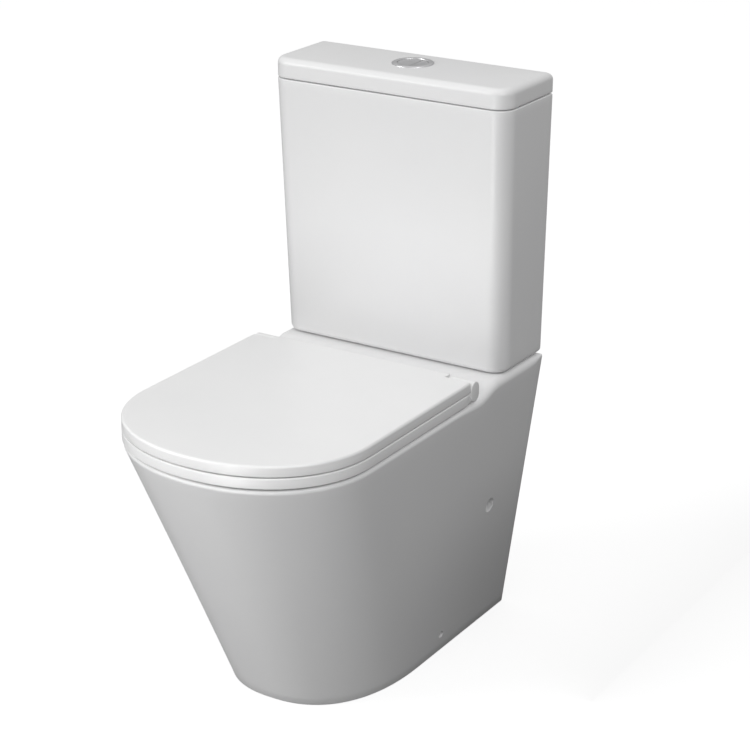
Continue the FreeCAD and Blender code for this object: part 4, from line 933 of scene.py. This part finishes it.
def cover_shell():
    """The cover's thin top and deep edge, with the space for the hinge and a notch for each ear."""
    ceiling = COVER_TOP_Z - COVER_SKIN
    rings = []
    for angle in arc_angles(5):
        rise = COVER_LOW_EDGE * (1 - math.cos(angle))
        rings.append(cover_ring(COVER_LOW_EDGE * (1 - math.sin(angle)), COVER_Z + rise))
    for angle in reversed(arc_angles(9)):
        drop = COVER_TOP_EDGE * (1 - math.cos(angle))
        rings.append(cover_ring(COVER_TOP_EDGE * (1 - math.sin(angle)), COVER_TOP_Z - drop))
    lid = ring_solid("cover_moulding", rings)
    hollow = [
        cover_ring(COVER_EDGE - 1.0, COVER_Z - 3, COVER_HOLLOW_REAR_Y),
        cover_ring(COVER_EDGE, COVER_Z + 1, COVER_HOLLOW_REAR_Y),
        cover_ring(COVER_EDGE + 0.5, ceiling - 3, COVER_HOLLOW_REAR_Y),
        cover_ring(COVER_EDGE + 3.5, ceiling, COVER_HOLLOW_REAR_Y - 2),
    ]
    cut(lid, ring_solid("hollow", hollow))
    space_x = LUGS_X[1][0]
    cut(lid, block("hinge_space", (-space_x, 90, COVER_Z - 3), (space_x, 125, ceiling)))
    for side in SIDES:
        x0, x1 = sorted((side * LUGS_X[1][1], side * 200.0))
        cut(lid, block("notch", (x0, 102.5, 400), (x1, 140, 440), 2.0))
    return lid


def seat_cover():
    """The cover with its hinge lugs, its buffer bosses and the rear wall between the inner lugs."""
    ceiling = COVER_TOP_Z - COVER_SKIN
    lid = cover_shell()
    for side in SIDES:
        for near, far in LUGS_X:
            x0, x1 = sorted((side * near, side * far))
            join(lid, cylinder("barrel", LUG_RADIUS, (x0, HINGE_Y, HINGE_Z), x1 - x0, "X", 0.8, 48))
            join(lid, block("web", (x0, HINGE_Y - LUG_RADIUS, HINGE_Z), (x1, COVER_REAR_Y, ceiling + 1)))
        for x, y in BUFFER_PLACES:
            foot = (side * x, y, COVER_Z)
            join(lid, cylinder("boss", BOSS_RADIUS, foot, ceiling - COVER_Z + 1, "Z", 0.6, 40))
    wall_x = LUGS_X[0][0]
    wall_start = (-wall_x, COVER_REAR_Y - COVER_SKIN, COVER_Z)
    join(lid, block("rear_wall", wall_start, (wall_x, COVER_REAR_Y, ceiling + 1), 0.6))
    for side in SIDES:
        start = min(side * 50.0, side * 142.0)
        cut(lid, cylinder("bore", SHAFT_BORE, (start, HINGE_Y, HINGE_Z), 92.0, "X", steps=32))
    finish_piece(lid, "seat_duroplast", "cover", "seat_cover", angle=34.0)


# ---------------------------------------------------------------- studio, in metres

FLOOR_REACH = 30.0
FLOOR_GREY = 0.30
FLOOR_GLOW = 0.80
SKY = (  # place from straight down to straight up, grey; the two ends first
    (0.0, 0.03),
    (1.0, 0.84),
    (0.42, 0.05),
    (0.58, 0.355),
)
SCREEN = (0.38, 0.10, 0.95, 0.26)  # across, near end, far end, height
LIGHTS = (  # name, place, target, diameter, watts
    ("key", (-2.5, -2.7, 1.85), (0, 0, 0.45), 1.8, 64),
    ("front_fill", (0.1, -1.5, 0.12), (0.05, -0.25, 0.1), 0.7, 8.5),
    ("side_fill", (1.5, -0.8, 1.7), (0.15, 0.05, 0.65), 1.0, 9.5),
)


def studio():
    """A pale glowing floor that lights nothing, a sky that is darker below, a dark board and soft lights."""
    floor_mesh = bpy.data.meshes.new("floor")
    corners = [(-FLOOR_REACH, -FLOOR_REACH), (FLOOR_REACH, -FLOOR_REACH), (FLOOR_REACH, FLOOR_REACH),
               (-FLOOR_REACH, FLOOR_REACH)]
    floor_mesh.from_pydata([(x, y, 0) for x, y in corners], [], [(0, 1, 2, 3)])
    floor = new_object("floor", floor_mesh)
    floor.visible_diffuse = False
    floor.visible_glossy = False
    paper = bpy.data.materials.new("studio_floor")
    paper.use_nodes = True
    shader = paper.node_tree.nodes["Principled BSDF"]
    shader.inputs["Base Color"].default_value = (FLOOR_GREY, FLOOR_GREY, FLOOR_GREY, 1)
    shader.inputs["Roughness"].default_value = 0.9
    shader.inputs["Specular IOR Level"].default_value = 0.0
    shader.inputs["Emission Color"].default_value = (1, 1, 1, 1)
    shader.inputs["Emission Strength"].default_value = FLOOR_GLOW
    floor_mesh.materials.append(paper)

    screen()
    world = bpy.data.worlds.new("studio")
    bpy.context.scene.world = world
    world.use_nodes = True
    tree = world.node_tree
    background = tree.nodes["Background"]
    background.inputs["Strength"].default_value = 1.0
    coords = tree.nodes.new("ShaderNodeTexCoord")
    split = tree.nodes.new("ShaderNodeSeparateXYZ")
    ramp = tree.nodes.new("ShaderNodeValToRGB")
    height = tree.nodes.new("ShaderNodeMapRange")
    height.inputs["From Min"].default_value = -1.0
    tree.links.new(coords.outputs["Generated"], split.inputs["Vector"])
    tree.links.new(split.outputs["Z"], height.inputs["Value"])
    tree.links.new(height.outputs["Result"], ramp.inputs["Fac"])
    tree.links.new(ramp.outputs["Color"], background.inputs["Color"])
    stops = ramp.color_ramp.elements
    for index, (place, grey) in enumerate(SKY):
        stop = stops[index] if index < 2 else stops.new(place)
        stop.color = (grey, grey, grey, 1)

    for name, place, target, size, watts in LIGHTS:
        soft_light(name, place, target, size, watts)
    scene = bpy.context.scene
    scene.view_settings.view_transform = "Standard"
    scene.view_settings.look = "None"


def screen():
    """A dark board beside the pan, out of the camera's sight, that keeps the low light off the pan's rear."""
    x, y0, y1, z = SCREEN
    mesh = bpy.data.meshes.new("screen")
    mesh.from_pydata([(x, y0, 0), (x, y1, 0), (x, y1, z), (x, y0, z)], [], [(0, 1, 2, 3)])
    board = new_object("screen", mesh)
    board.visible_camera = False
    board.visible_glossy = False
    board.visible_shadow = False
    dark = bpy.data.materials.new("studio_screen")
    dark.use_nodes = True
    dark.node_tree.nodes["Principled BSDF"].inputs["Base Color"].default_value = (0.01, 0.01, 0.01, 1)
    mesh.materials.append(dark)


def soft_light(name, place, target, size, watts):
    data = bpy.data.lights.new(name, "AREA")
    data.shape = "DISK"
    data.size = size
    data.energy = watts
    light = bpy.data.objects.new(name, data)
    light.location = place
    light.visible_camera = False
    light.rotation_euler = (Vector(target) - Vector(place)).to_track_quat("-Z", "Y").to_euler()
    bpy.context.scene.collection.objects.link(light)


CAMERA_AZIMUTH = 32.2476
CAMERA_ELEVATION = 21.4093
CAMERA_PLACE = (1.51390, -2.25406, 1.50133)
CAMERA_LENS = 103.358


def camera():
    data = bpy.data.cameras.new("photo_view")
    data.sensor_width = 36.0
    data.lens = CAMERA_LENS
    data.clip_end = 100.0
    obj = bpy.data.objects.new("photo_view", data)
    obj.location = CAMERA_PLACE
    obj.rotation_euler = (math.radians(90 - CAMERA_ELEVATION), 0, math.radians(CAMERA_AZIMUTH))
    bpy.context.scene.collection.objects.link(obj)
    bpy.context.scene.camera = obj


camera()
studio()
dress_cad_nodes()
pan()
cistern()
cistern_lid()
button_bezel()
flush_button("full", -2 * BUTTON_RADIUS, BUTTON_SPLIT[0], "full_button")
flush_button("half", BUTTON_SPLIT[1], 2 * BUTTON_RADIUS, "half_button")
seat_ring()
seat_cover()
